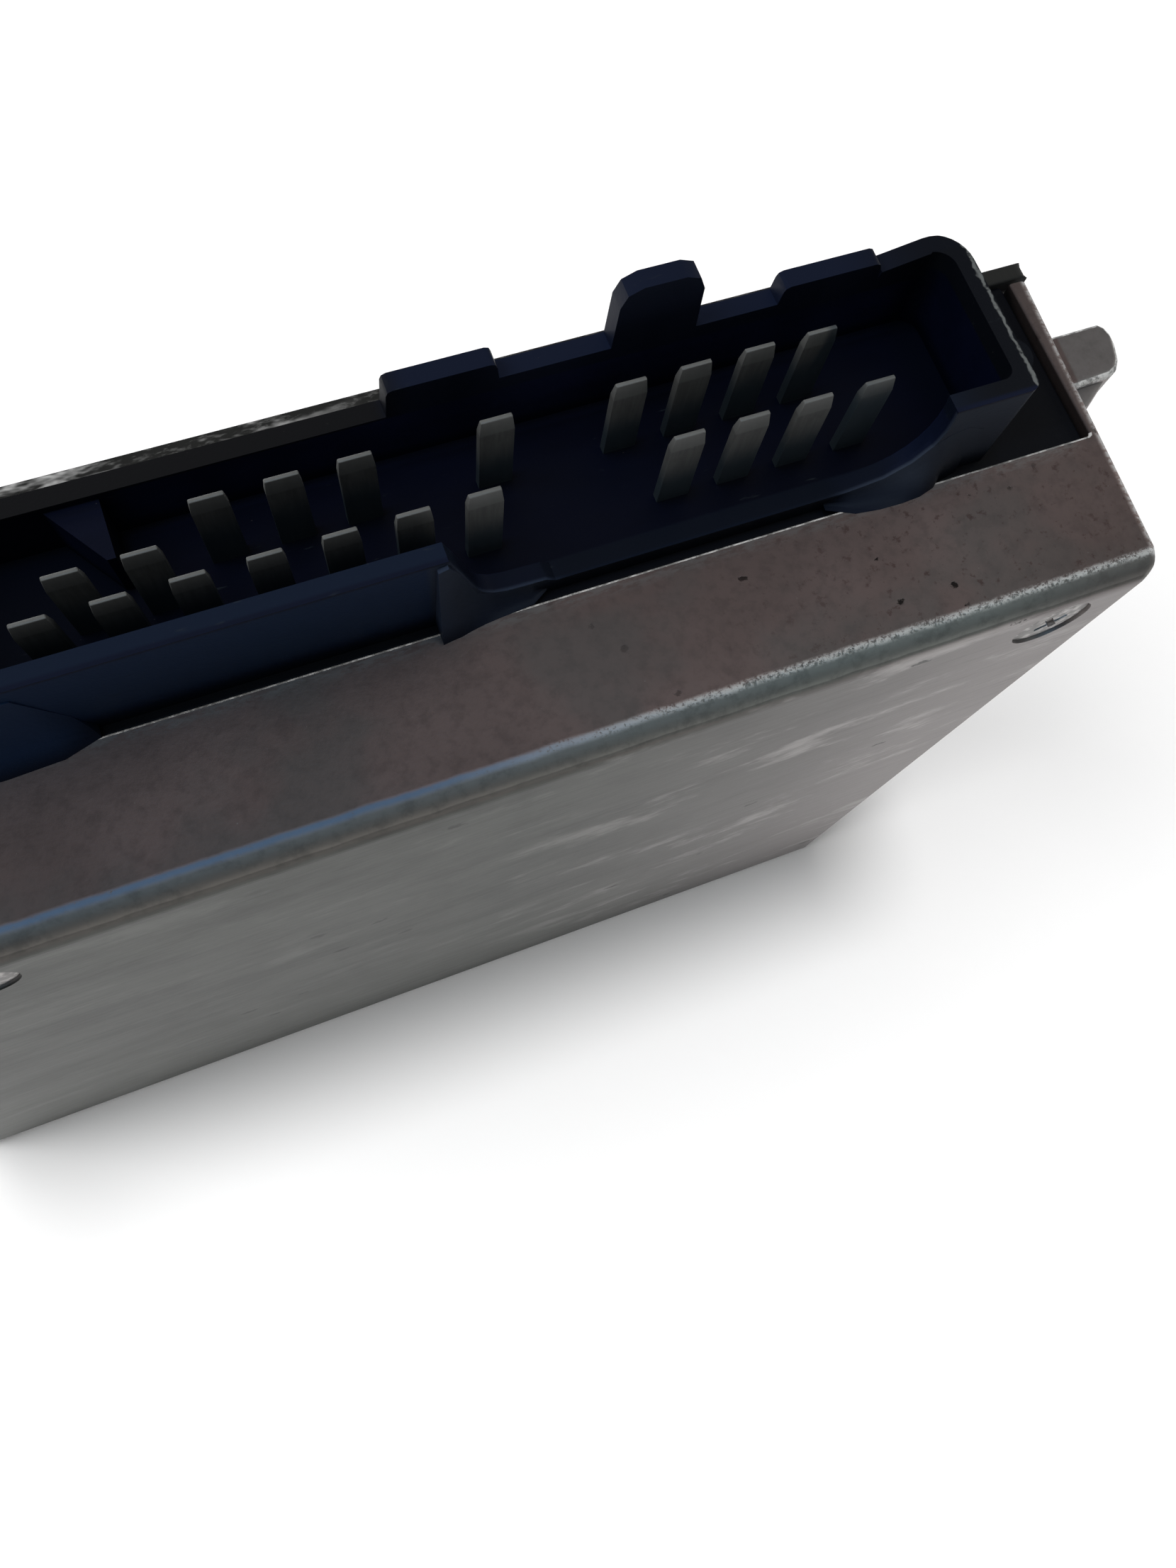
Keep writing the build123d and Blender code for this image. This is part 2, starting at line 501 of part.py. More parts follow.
def header_keys():
    """Keying rib, outside ribs and the half-round rib on the end wall."""
    inner_far = Y_FAR - SHROUD_T
    keys = prism_z([(KEY_X, inner_far + SHROUD_T / 2), (KEY_X, inner_far - KEY_DROP), (KEY_X - KEY_W, inner_far),
                    (KEY_X - KEY_W, inner_far + SHROUD_T / 2)], Z_FLOOR, DEPTH + LEFT_FAR_RIM_H - KEY_BELOW_RIM)
    end_rib = Pos(SHROUD_HALF - SHROUD_T / 2, Y_LOWER - BLADE_T, Z_FLANGE) * extrude(Circle(END_RIB_R), RIM_H)
    keys += end_rib & block(SHROUD_HALF - SHROUD_T / 2, HEADER_TO_SIDE, Y_NEAR, Y_FAR, Z_FLANGE, DEPTH + RIM_H)
    rim, low = DEPTH + RIM_H - KEY_BELOW_RIM, DEPTH + FOOT_RIB_H
    root, out = Y_NEAR + SHROUD_T / 2, Y_NEAR - RIB_OUT
    for x0, width, top in ((LEFT_RIB_FROM_END - SHROUD_HALF, LEFT_RIB_W, rim),
                           (TALL_NEAR_END - MIDDLE_RIB_W / 2, MIDDLE_RIB_W, rim),
                           (SHROUD_HALF - RIGHT_RIB_FROM_END - RIGHT_RIB_W, RIGHT_RIB_W, low)):
        keys += prism_x([(out, DEPTH), (out, DEPTH + FOOT_RIB_H / 2), (Y_NEAR - RIB_TOP, top), (root, top),
                         (root, DEPTH)], x0, x0 + width)
    x0 = TALL_NEAR_END + MIDDLE_RIB_W / 2
    keys += prism_z([(x0, root), (x0, out), (LEDGE_END - FOOT_RIB_H, Y_NEAR - RIB_OUT / 2), (LEDGE_END, Y_NEAR),
                     (LEDGE_END, root)], DEPTH, low)
    return keys


def pan_screw(x, z, radius, head_radius, y_seat, length, head_h, point):
    """Screw along Y whose head stands on y_seat, with point the way that its shank goes."""
    shank = rod_y(x, z, radius, *sorted((y_seat, y_seat + point * length)), HIDDEN_SIDES)
    return rod_y(x, z, head_radius, *sorted((y_seat, y_seat - point * head_h))) + shank


def board_screw(x, z):
    """Hexagon-head screw that holds the board on its post."""
    head = rod_y(x, z, BOARD_HEAD_R, Y_BOARD, Y_BOARD + BOARD_HEAD_H, 6)
    return head + rod_y(x, z, BOARD_SCREW_R, Y_SOLDER - BOARD_SCREW_L, Y_BOARD, HIDDEN_SIDES)


def clamp_screw(z):
    """Hexagon-head screw along X that draws the clamp bar to its bosses."""
    seat = CLAMP_SEAT - CLAMP_T
    head = rod_x(CLAMP_Y, z, BOARD_HEAD_R, seat - BOARD_HEAD_H, seat, 6)
    return head + rod_x(CLAMP_Y, z, BOARD_SCREW_R, seat, CLAMP_SEAT + CLAMP_SCREW_L, HIDDEN_SIDES)


def circuit_board():
    """Board on four posts, with its corners cut away round the lid's bosses."""
    board = block(X_MID - BOARD_HALF, X_MID + BOARD_HALF, Y_SOLDER, Y_BOARD, BOARD_Z0, BOARD_Z1)
    reach = LID_BOSS_R + BOSS_GAP
    for x, z in LID_BOSSES:
        x0, x1 = sorted((x - side_of(x) * reach, X_MID + side_of(x) * HALF))
        z0, z1 = (z - reach, DEPTH) if z > DEPTH / 2 else (0, z + reach)
        board -= block(x0, x1, Y_SOLDER, Y_BOARD, z0, z1)
    for x, z in POSTS:
        board -= rod_y(x, z, BOARD_SCREW_R, Y_SOLDER, Y_BOARD, HIDDEN_SIDES)
    for x, z in board_holes():
        board -= rod_y(x, z, HOLE_R, Y_SOLDER, Y_BOARD, 4)
    return board


def place(edge_x, x, edge_z, z):
    """Place on the board, from distances to the edges that are named."""
    from_x = {"left": X_MID - BOARD_HALF + x, "middle": x, "right": X_MID + BOARD_HALF - x}[edge_x]
    return from_x, BOARD_Z1 - z if edge_z == "front" else BOARD_Z0 + z


def board_holes():
    """Places of all legs that go through the board."""
    holes = [(x, leg_z(row)) for _, x, _, row in contact_places()]
    holes += [(TO_LEG_X, z + shift) for z in TO_PLACES for shift in TO_LEGS]
    for kind, *where in LEADED.values():
        x, z = place(*where)
        holes += [(x - LEAD_HALF[kind], z), (x + LEAD_HALF[kind], z)]
    return holes


def leads(kind, x, z, y1):
    """The two leads, down through the board."""
    low = Y_SOLDER - LEG_THROUGH
    return [rod_y(x + side * LEAD_HALF[kind], z, LEAD_R, low, y1, 6) for side in (-1, 1)]


def electrolytic(x, z):
    """Standing electrolytic capacitor."""
    y0 = Y_BOARD + STAND_OFF
    can = turned_y(x, z, y0, [(0, 0), (CAN_R, 0), (CAN_R, CAN_H - CAN_EDGE), (CAN_R - CAN_EDGE, CAN_H), (0, CAN_H)])
    return can + leads("electrolytic", x, z, y0)


def film_capacitor(x, z):
    """Box-shaped film capacitor."""
    y0 = Y_BOARD + STAND_OFF
    box = block(x - FILM_L / 2, x + FILM_L / 2, y0, y0 + FILM_H, z - FILM_W / 2, z + FILM_W / 2)
    return chamfer(box.edges().filter_by(Axis.Y), CHIP_EDGE) + leads("film", x, z, y0)


def choke(x, z):
    """Drum core choke: two flanges and the winding between them."""
    y0 = Y_BOARD + STAND_OFF
    drum = rod_y(x, z, WINDING_R, y0, y0 + DRUM_H, DRUM_SIDES)
    for foot in (y0, y0 + DRUM_H - DRUM_EDGE):
        drum += rod_y(x, z, DRUM_R, foot, foot + DRUM_EDGE, DRUM_SIDES)
    return drum + leads("choke", x, z, y0)


def lying(kind, x, z, half, height):
    """Leads of a part that lies on the board, out of its ends and down."""
    made = leads(kind, x, z, height)
    for side in (-1, 1):
        ends = sorted((x + side * half, x + side * (LEAD_HALF[kind] + LEAD_R)))
        made.append(block(*ends, height - LEAD_R, height + LEAD_R, z - LEAD_R, z + LEAD_R))
    return made


def power_resistor(x, z):
    """Cement resistor, lying on the board."""
    y0 = Y_BOARD + CEMENT_LIFT
    half, side = CEMENT_L / 2, CEMENT_SIDE / 2
    body = block(x - half, x + half, y0, y0 + CEMENT_SIDE, z - side, z + side)
    return chamfer(body.edges().filter_by(Axis.X), CHIP_EDGE) + lying("resistor", x, z, half, y0 + side)


def diode(x, z):
    """Axial diode, lying over the board."""
    height = Y_BOARD + DIODE_LIFT
    body = rod_x(height, z, DIODE_R, x - DIODE_L / 2, x + DIODE_L / 2, DIODE_SIDES)
    return body + lying("diode", x, z, DIODE_L / 2, height)


def crystal(x, z):
    """Crystal can with a foot flange."""
    y0 = Y_BOARD + STAND_OFF
    half_l, half_w = (CRYSTAL_L + CRYSTAL_FOOT) / 2, (CRYSTAL_W + CRYSTAL_FOOT) / 2
    foot = block(x - half_l, x + half_l, y0, y0 + CRYSTAL_FOOT, z - half_w, z + half_w)
    can = Pos(x, y0, z) * Rot(X=-90) * extrude(SlotOverall(CRYSTAL_L, CRYSTAL_W), CRYSTAL_H)
    return foot + can + leads("crystal", x, z, y0)


def chip(x, z, length, width, height, long_leads, short_leads):
    """Surface-mounted chip with bent leads and one corner cut to mark its first lead."""
    y0 = Y_BOARD + CHIP_LIFT
    body = block(x - length / 2, x + length / 2, y0, y0 + height, z - width / 2, z + width / 2)
    body = chamfer(body.edges().filter_by(Axis.Y).sort_by(Axis.X)[0], 2 * CHIP_EDGE)
    knee = y0 + height / 2
    for side in (-1, 1):
        for k in range(long_leads):
            lx = x + (k - (long_leads - 1) / 2) * LEAD_PITCH
            ends = sorted((z + side * width / 2, z + side * (width / 2 + LEAD_OUT)))
            body += block(lx - LEAD_W / 2, lx + LEAD_W / 2, Y_BOARD, knee, *ends)
        for k in range(short_leads):
            lz = z + (k - (short_leads - 1) / 2) * LEAD_PITCH
            ends = sorted((x + side * length / 2, x + side * (length / 2 + LEAD_OUT)))
            body += block(*ends, Y_BOARD, knee, lz - LEAD_W / 2, lz + LEAD_W / 2)
    return body


def transistor(z):
    """Power transistor standing against the side wall: metal tab, moulded body and three legs."""
    tab = block(TO_BACK_X - TO_TAB_T, TO_BACK_X, TO_FOOT, TO_FOOT + TO_H, z - TO_W / 2, z + TO_W / 2)
    tab -= rod_x(TO_FOOT + TO_H - TO_HOLE_DROP, z, TO_HOLE_R, TO_BACK_X - TO_TAB_T, TO_BACK_X, HIDDEN_SIDES)
    body = block(TO_BACK_X - TO_T, TO_BACK_X - TO_TAB_T, TO_FOOT, TO_FOOT + TO_BODY_H, z - TO_W / 2, z + TO_W / 2)
    for shift in TO_LEGS:
        body += block(TO_LEG_X - LEAD_W / 2, TO_LEG_X + LEAD_W / 2, Y_SOLDER - LEG_THROUGH, TO_FOOT,
                      z + shift - LEAD_R, z + shift + LEAD_R)
    return tab + body


def insulator_strip():
    """Insulating pad between the transistors and the side wall, with holes for the clamp's bosses."""
    margin = TO_W / 2 + PAD_MARGIN
    strip = block(TO_BACK_X, X_WALL, TO_FOOT - PAD_MARGIN / 2, TO_FOOT + TO_H + PAD_MARGIN / 2,
                  TO_PLACES[0] - margin, TO_PLACES[-1] + margin)
    for z in CLAMP_SCREWS:
        strip -= rod_x(CLAMP_Y, z, CLAMP_BOSS_R + CLEAR, TO_BACK_X, SIDE_LOW, HIDDEN_SIDES)
    return strip


def clamp_bar():
    """Bar that presses the transistors against the side wall."""
    z0, z1 = TO_PLACES[0] - TO_W / 2, TO_PLACES[-1] + TO_W / 2
    bar = block(CLAMP_SEAT - CLAMP_T, CLAMP_SEAT, CLAMP_Y - CLAMP_W / 2, CLAMP_Y + CLAMP_W / 2, z0, z1)
    bar = fillet(bar.edges().filter_by(Axis.X), CLAMP_R)
    for z in CLAMP_SCREWS:
        bar -= rod_x(CLAMP_Y, z, BOARD_SCREW_R, CLAMP_SEAT - CLAMP_T, CLAMP_SEAT, HIDDEN_SIDES)
    return bar


MAKERS = {"electrolytic": electrolytic, "film": film_capacitor, "choke": choke, "resistor": power_resistor,
          "diode": diode, "crystal": crystal}


def pieces():
    """Every node's name and solid."""
    made = {"housing": housing(), "lid": lid(), "lid_seal": lid_seal(), "header": header()}
    for name, x, y, row in contact_places():
        made[name] = contact(x, y, row)
    for word, side in (("left", -1), ("right", 1)):
        made[f"header_screw_{word}"] = pan_screw(side * X_DIMPLE, Z_DIMPLE, HEADER_SCREW_R, HEADER_HEAD_R, Y_DIMPLE,
                                                 FACE_T + FOOT_BORE, HEADER_HEAD_H, 1)
    for k, (x, z) in enumerate(LID_BOSSES, 1):
        made[f"lid_screw_{k}"] = pan_screw(x, z, LID_SCREW_R, LID_HEAD_R, Y_RIM + LID_T,
                                           LID_T + SEAL_T + LID_SCREW_L, LID_HEAD_H, -1)
    for k, (x, z) in enumerate(POSTS, 1):
        made[f"board_screw_{k}"] = board_screw(x, z)
    made["circuit_board"] = circuit_board()
    for name, (kind, *where) in LEADED.items():
        made[name] = MAKERS[kind](*place(*where))
    for name, (edge_x, x, edge_z, z, *size) in CHIPS.items():
        made[name] = chip(*place(edge_x, x, edge_z, z), *size)
    for k, z in enumerate(TO_PLACES, 1):
        made[f"transistor_{k}"] = transistor(z)
    made["insulator_strip"] = insulator_strip()
    made["clamp_bar"] = clamp_bar()
    for k, z in enumerate(CLAMP_SCREWS, 1):
        made[f"clamp_screw_{k}"] = clamp_screw(z)
    return made


os.makedirs("parts", exist_ok=True)
for name, solid in pieces().items():
    export_step(solid, f"parts/{name}.step")
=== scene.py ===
"""Engine control unit: finishes, detailed pieces, floor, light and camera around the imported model.

Meshes are modelled in millimetres and scaled to metres when each piece is finished.
"""

import json
from math import pi, radians, tan

import bmesh
import bpy
from mathutils import Matrix, Vector


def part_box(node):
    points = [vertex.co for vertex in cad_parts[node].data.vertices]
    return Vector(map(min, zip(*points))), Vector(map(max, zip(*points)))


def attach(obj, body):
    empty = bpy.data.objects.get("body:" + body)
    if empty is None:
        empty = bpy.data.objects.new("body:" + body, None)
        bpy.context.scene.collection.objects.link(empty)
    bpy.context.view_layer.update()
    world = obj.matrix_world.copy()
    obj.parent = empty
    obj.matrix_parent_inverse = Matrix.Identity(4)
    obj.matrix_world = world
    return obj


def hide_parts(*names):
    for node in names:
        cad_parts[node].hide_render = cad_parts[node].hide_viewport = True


bl_info = {
    "name": "Engine control unit",
    "version": (1, 0, 0),
    "blender": (4, 5, 0),
    "location": "View3D > Sidebar > Control unit",
    "description": "Builds the case, cover, plug header, contacts and screws of an engine control unit, "
                   "and their finishes",
    "category": "Object",
}

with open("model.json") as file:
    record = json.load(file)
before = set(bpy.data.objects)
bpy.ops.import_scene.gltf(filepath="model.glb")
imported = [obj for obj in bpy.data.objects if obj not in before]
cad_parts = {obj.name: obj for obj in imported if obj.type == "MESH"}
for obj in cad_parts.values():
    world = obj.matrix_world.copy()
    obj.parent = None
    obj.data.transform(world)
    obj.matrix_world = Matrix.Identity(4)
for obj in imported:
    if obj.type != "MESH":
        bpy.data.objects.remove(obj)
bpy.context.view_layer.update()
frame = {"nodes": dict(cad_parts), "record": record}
MM = 0.001


def node_box(name):
    """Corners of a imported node, in millimetres."""
    low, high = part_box(name)
    return [v / MM for v in low], [v / MM for v in high]


def seat_of(name):
    """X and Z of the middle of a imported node."""
    low, high = node_box(name)
    return (low[0] + high[0]) / 2, (low[2] + high[2]) / 2


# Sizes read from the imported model, in millimetres; the header's middle is at 0
COVER_LOW, COVER_HIGH = node_box("lid")
CASE_LOW, CASE_HIGH = node_box("housing")
(_, Y_WALL, _), (_, Y_RIM, _) = node_box("lid_seal")
HEADER_TOP = node_box("header")[1][2]
DEPTH, Y_FACE, Y_TOP = CASE_HIGH[2], CASE_LOW[1], COVER_HIGH[1]
X_MID = (COVER_LOW[0] + COVER_HIGH[0]) / 2  # middle of the case
BLADES = sorted(n for n in frame["nodes"] if n.startswith("contact_"))
LID_SCREWS = sorted(n for n in frame["nodes"] if n.startswith("lid_screw_"))

# Case and cover
FACE_T, FRONT_T = 2.0, 2.8  # thickness of the large face and of the front wall
LIP, CUT_FROM_SIDE = Y_FACE + 12.75, 1.95  # lower edge of the cut-out in the front wall, and its ends
STEPPED = DEPTH - 0.6  # front of the flange and the lugs, under the front face
LUG_LENGTH = 12
DIMPLE_FROM_SIDE, DIMPLE_Z = 9.4, DEPTH - 5.2  # middle of each screw dimple
DIMPLE_R, DIMPLE_SEAT, DIMPLE_HOLE_R = 3.3, Y_FACE + 1.0, 1.75
SHEET, LID_HOLE_R = 1.5, 1.6  # the cover's thickness and the radius of its holes
FIELD_FROM_SIDE = 8.2  # flat rim of the cover beside its raised field
FIELD_LEAN = tan(radians(22))  # slope of the raised field's sides

# Header and contacts
NEAR_Y, FAR_Y = Y_FACE + 13.65, Y_FACE + 28.35  # outside of the socket's two long walls
FLOOR_Z, FAR_RIM, TAB_TOP = DEPTH + 1.0, DEPTH + 7.3, DEPTH + 9.0  # socket's floor, far wall's rim and its tabs
LOW_END = 13.3  # from the socket's right end to the end of the near wall's low part
BLADE_HALF, LEG_HALF, BLADE_HALF_T = 1.34, 0.5, 0.4
TIP_TAPER = 1.25  # length of a blade's tapered tip

# Camera fitted to the photograph, in its pixels and in millimetres
PHOTO_FOCUS, PHOTO_HEIGHT, SENSOR = 1598, 2212, 36.0
CAMERA_PLACE = (-13.7962, -36.2397, 176.7535)
CAMERA_RIGHT, CAMERA_DOWN = (0.930666, -0.352569, 0.097752), (-0.315327, -0.908442, -0.274413)
LIGHT_TARGET = (0.0, -0.016, 0.1)  # what the panels of light face, in metres


# -------------------- settings

COLOUR = {"subtype": "COLOR", "size": 3}


class CaseSettings(bpy.types.PropertyGroup):
    """Sizes and colours of the cast case and its cover."""
    half: bpy.props.FloatProperty(name="Half width", default=67.5, description="Half of the case's width, mm")
    draft: bpy.props.FloatProperty(name="Draft", default=1.2, description="What each side loses at the large face, mm")
    wall: bpy.props.FloatProperty(name="Wall", default=2.3, description="Wall thickness, mm")
    edge: bpy.props.FloatProperty(name="Edge rounding", default=2.2, description="Rounding round the large face, mm")
    metal: bpy.props.FloatVectorProperty(name="Cast metal", default=(0.325, 0.245, 0.228),
                                         description="Colour of the cast surface", **COLOUR)
    ground: bpy.props.FloatVectorProperty(name="Ground metal", default=(0.0565, 0.058, 0.0535),
                                          description="Colour of the ground large face", **COLOUR)
    skin: bpy.props.FloatVectorProperty(name="Turned edge", default=(0.115, 0.122, 0.114),
                                        description="Colour of the cast skin on the rounded edge", **COLOUR)


class HeaderSettings(bpy.types.PropertyGroup):
    """Sizes and colours of the plug header and its contacts."""
    half: bpy.props.FloatProperty(name="Socket half length", default=41.6,
                                  description="Half of the socket's outside length, mm")
    wall: bpy.props.FloatProperty(name="Socket wall", default=1.5, description="Thickness of the socket's walls, mm")
    rim: bpy.props.FloatProperty(name="Rim height", default=8.8, description="Rim above the case's front face, mm")
    plastic: bpy.props.FloatVectorProperty(name="Plastic", default=(0.0052, 0.0085, 0.036),
                                           description="Colour of the moulding", **COLOUR)
    blade: bpy.props.FloatVectorProperty(name="Blade metal", default=(0.116, 0.12, 0.118),
                                         description="Colour of the contacts", **COLOUR)


class StageSettings(bpy.types.PropertyGroup):
    """Floor and light."""
    floor: bpy.props.FloatVectorProperty(name="Floor", default=(0.93, 0.93, 0.93), description="Colour of the floor",
                                         **COLOUR)
    key: bpy.props.FloatProperty(name="Floor light", default=1.72, description="Strength of the light from above")


def case_settings():
    return bpy.context.scene.ecu_case


def header_settings():
    return bpy.context.scene.ecu_header


def right_side():
    """Right side of the case at its mouth, from the header's middle."""
    return X_MID + case_settings().half


# -------------------- shader maths

class Value:
    """A socket of a material, with arithmetic that adds its own nodes."""

    def __init__(self, finish, socket):
        self.finish, self.socket = finish, socket

    def math(self, operation, *others):
        return self.finish.node("ShaderNodeMath", {"operation": operation}, [self, *others])

    def __add__(self, other):
        return self.math("ADD", other)

    __radd__ = __add__

    def __mul__(self, other):
        return self.math("MULTIPLY", other)

    __rmul__ = __mul__

    def __sub__(self, other):
        return self.math("SUBTRACT", other)

    def __rsub__(self, other):
        return self.finish.node("ShaderNodeMath", {"operation": "SUBTRACT"}, [other, self])

    def over(self, low, high):
        """0 under low, 1 over high, smooth between them; low above high turns it round."""
        if low > high:
            return 1 - self.over(high, low)
        return self.finish.node("ShaderNodeMapRange", {"interpolation_type": "SMOOTHSTEP"},
                                {"Value": self, "From Min": low, "From Max": high})


class Finish:
    """A procedural material while it is put together. Lengths are millimetres."""

    def __init__(self, name):
        self.material = bpy.data.materials.new(name)
        self.material.use_nodes = True
        self.tree = self.material.node_tree
        self.tree.nodes.clear()
        self.place = self.node("ShaderNodeTexCoord", out="Object")
        split = self.node("ShaderNodeSeparateXYZ", inputs=[self.place]).socket.node
        self.x, self.y, self.z = (Value(self, s) * (1 / MM) for s in split.outputs)

    def node(self, kind, settings=(), inputs=(), out=0):
        """Adds a node with its settings and inputs, and gives its output."""
        made = self.tree.nodes.new(kind)
        for key, value in dict(settings).items():
            setattr(made, key, value)
        for key, value in inputs.items() if isinstance(inputs, dict) else enumerate(inputs):
            if isinstance(value, Value):
                self.tree.links.new(value.socket, made.inputs[key])
            else:
                made.inputs[key].default_value = value
        return Value(self, made.outputs[out])

    def shift(self, size, offset, turn=0.0):
        """Object coordinates divided by a size, which is one length or one per axis, and turned about Y in degrees."""
        lengths = size if isinstance(size, tuple) else (size,) * 3
        return self.node("ShaderNodeMapping", inputs={
            "Vector": self.place, "Scale": tuple(1 / (MM * length) for length in lengths), "Location": offset,
            "Rotation": (0, radians(turn), 0)})

    def noise(self, size, detail=3.0, rough=0.55, offset=(0, 0, 0), turn=0.0):
        """Soft noise with blots of about this size."""
        return self.node("ShaderNodeTexNoise", inputs={
            "Vector": self.shift(size, offset, turn), "Scale": 1.0, "Detail": detail, "Roughness": rough})

    def cells(self, size, offset=(0, 0, 0)):
        """Distance to scattered points, in cells of about this size."""
        return self.node("ShaderNodeTexVoronoi", inputs={"Vector": self.shift(size, offset), "Scale": 1.0})

    def mix(self, mask, low, high):
        """Colour low where the mask is 0 and high where it is 1."""
        wide = [c if isinstance(c, Value) else (*tuple(c)[:3], 1.0) for c in (low, high)]
        return self.node("ShaderNodeMix", {"data_type": "RGBA"}, {0: mask, 6: wide[0], 7: wide[1]}, out=2)

    def laid(self, base, *layers):
        """Colour after each layer, which is a mask and a colour, is laid over what is under it."""
        for mask, colour in layers:
            base = self.mix(mask, base, colour)
        return base

    def done(self, base, rough, metallic=0.0, bump=None, strength=1.0, depth=0.05, shine=0.5):
        """Closes the material; bump is a height from 0 to 1 that stands for depth millimetres."""
        inputs = {"Base Color": base, "Roughness": rough, "Metallic": metallic, "Specular IOR Level": shine}
        if bump is not None:
            inputs["Normal"] = self.node("ShaderNodeBump", inputs={"Height": bump, "Strength": strength,
                                                                   "Distance": depth * MM})
        end = self.tree.nodes.new("ShaderNodeOutputMaterial")
        self.tree.links.new(self.node("ShaderNodeBsdfPrincipled", inputs=inputs).socket, end.inputs["Surface"])
        return self.material


def shade(colour, factor):
    """Colour made darker or lighter."""
    return tuple(c * factor for c in colour)


# -------------------- finishes

def cast_skin(f, s, mottle, fine):
    """Bare casting: mottled, blotted with grey, and without its warm tint away from the front face."""
    edge = Y_FACE + s.edge
    blot = (f.noise(11, 3, offset=(3, 5, 1)) + f.y.over(edge + 6, edge) * 0.13).over(0.5, 0.68)
    return f.laid(
        f.mix(mottle.over(0.35, 0.65), shade(s.metal, 0.9), shade(s.metal, 1.1)),
        (fine.over(0.42, 0.7) * 0.4, shade(s.metal, 0.6)),
        (f.z.over(DEPTH - 0.8, DEPTH - 3.0) * 0.8, f.mix(mottle, (0.26, 0.255, 0.25), (0.33, 0.325, 0.315))),
        (blot * 0.45, (0.215, 0.215, 0.205)))


def front_marks(f, cast, pits, front):
    """Brown stains and dark pits in the front face, and bright grains everywhere."""
    stain = f.noise(0.9, 4, 0.7, offset=(2, 9, 4)).over(0.56, 0.68) * f.x.over(4, 36)
    spark = f.noise(0.4, 2, 0.5, offset=(5, 1, 8)).over(0.75, 0.79)
    return f.laid(cast, (stain * front * 0.5, (0.09, 0.035, 0.03)), (pits * 0.9, (0.014, 0.012, 0.011)),
                  (spark * 0.5, (0.5, 0.49, 0.47)))


def crease_wear_and_highlight(f, s, wander, rub, left):
    """Mask of the broken line where the large face turns into the front face: partly edge wear, partly a painted
    highlight.
    """
    edge, bent = Y_FACE + s.edge, f.y + wander * 0.6
    speck = f.noise(0.24, 2, 0.7, offset=(8, 2, 2))
    band = bent.over(edge - 0.85, edge - 0.35) * bent.over(edge + 0.12, edge - 0.25)
    return band * (rub * 0.5 + speck + left * 0.2).over(0.55, 0.84) * f.z.over(DEPTH - 1.4, DEPTH - 0.9)


def dimple_zone(f):
    """Mask of the front edge over the two screw dimples, where it stays bare and sharp."""
    at, across = right_side() - DIMPLE_FROM_SIDE, f.x.math("ABSOLUTE")
    along_x = across.over(at - 4.7, at - 3.7) * across.over(at + 4.3, at + 3.8)
    return along_x * f.z.over(DEPTH - 1.2, DEPTH - 1.9) * f.z.over(DEPTH - 10, DEPTH - 9)


def ground_face(f, s, wander, brush, band):
    """Large face: ground along the header, clouded and scratched, dark at the rear edge, lighter at the right, with
    painted light near the floor.
    """
    dull = f.noise((5, 9, 34), 2, 0.5, turn=-14, offset=(6, 0, 2)).over(0.55, 0.75)
    hair = f.noise((7, 2, 0.16), 2, 0.5, turn=12, offset=(9, 0, 4)).over(0.64, 0.72)
    cloud = f.noise((15, 10, 8), 5, 0.66, turn=-10, offset=(3, 1, 6)).over(0.36, 0.62)
    patch = f.noise((16, 9, 6), 5, 0.68, turn=5, offset=(1, 2, 9)).over(0.52, 0.68)
    nick = (f.cells((13, 9, 8), offset=(4.3, 1, 2.6)) + f.noise((0.7, 1, 0.5), 3, 0.7) * 0.2).over(0.18, 0.15)
    rightward = f.x.over(-20, 30)
    ground = f.laid(
        f.mix(brush.over(0.3, 0.7), shade(s.ground, 0.85), shade(s.ground, 1.13)),
        (band.over(0.38, 0.66) * 0.4, shade(s.ground, 1.5)),
        (dull * 0.35, shade(s.ground, 0.62)))
    return f.laid(
        f.mix(cloud, f.mix(0.4, ground, shade(s.ground, 0.55)), f.mix(0.35, ground, shade(s.ground, 1.8))),
        (f.x.over(-6, 46) * 0.7, (0.23, 0.21, 0.208)),
        (f.x.over(24, 50) * 0.3, (0.34, 0.31, 0.305)),
        (patch * (rightward * 0.35 + 0.22), f.mix(rightward, (0.22, 0.222, 0.21), (0.42, 0.4, 0.39))),
        # painted light: the large face lighter towards the floor, mostly at its left
        (f.z.over(55, 5) * f.x.over(40, -5) * 0.5, (0.152, 0.155, 0.144)),
        ((f.z + wander * 1.6).over(2.0, 0.9) * 0.6, (0.035, 0.042, 0.043)),
        (hair * 0.4, shade(s.ground, 0.55)),
        (nick * 0.8, (0.015, 0.015, 0.014)))


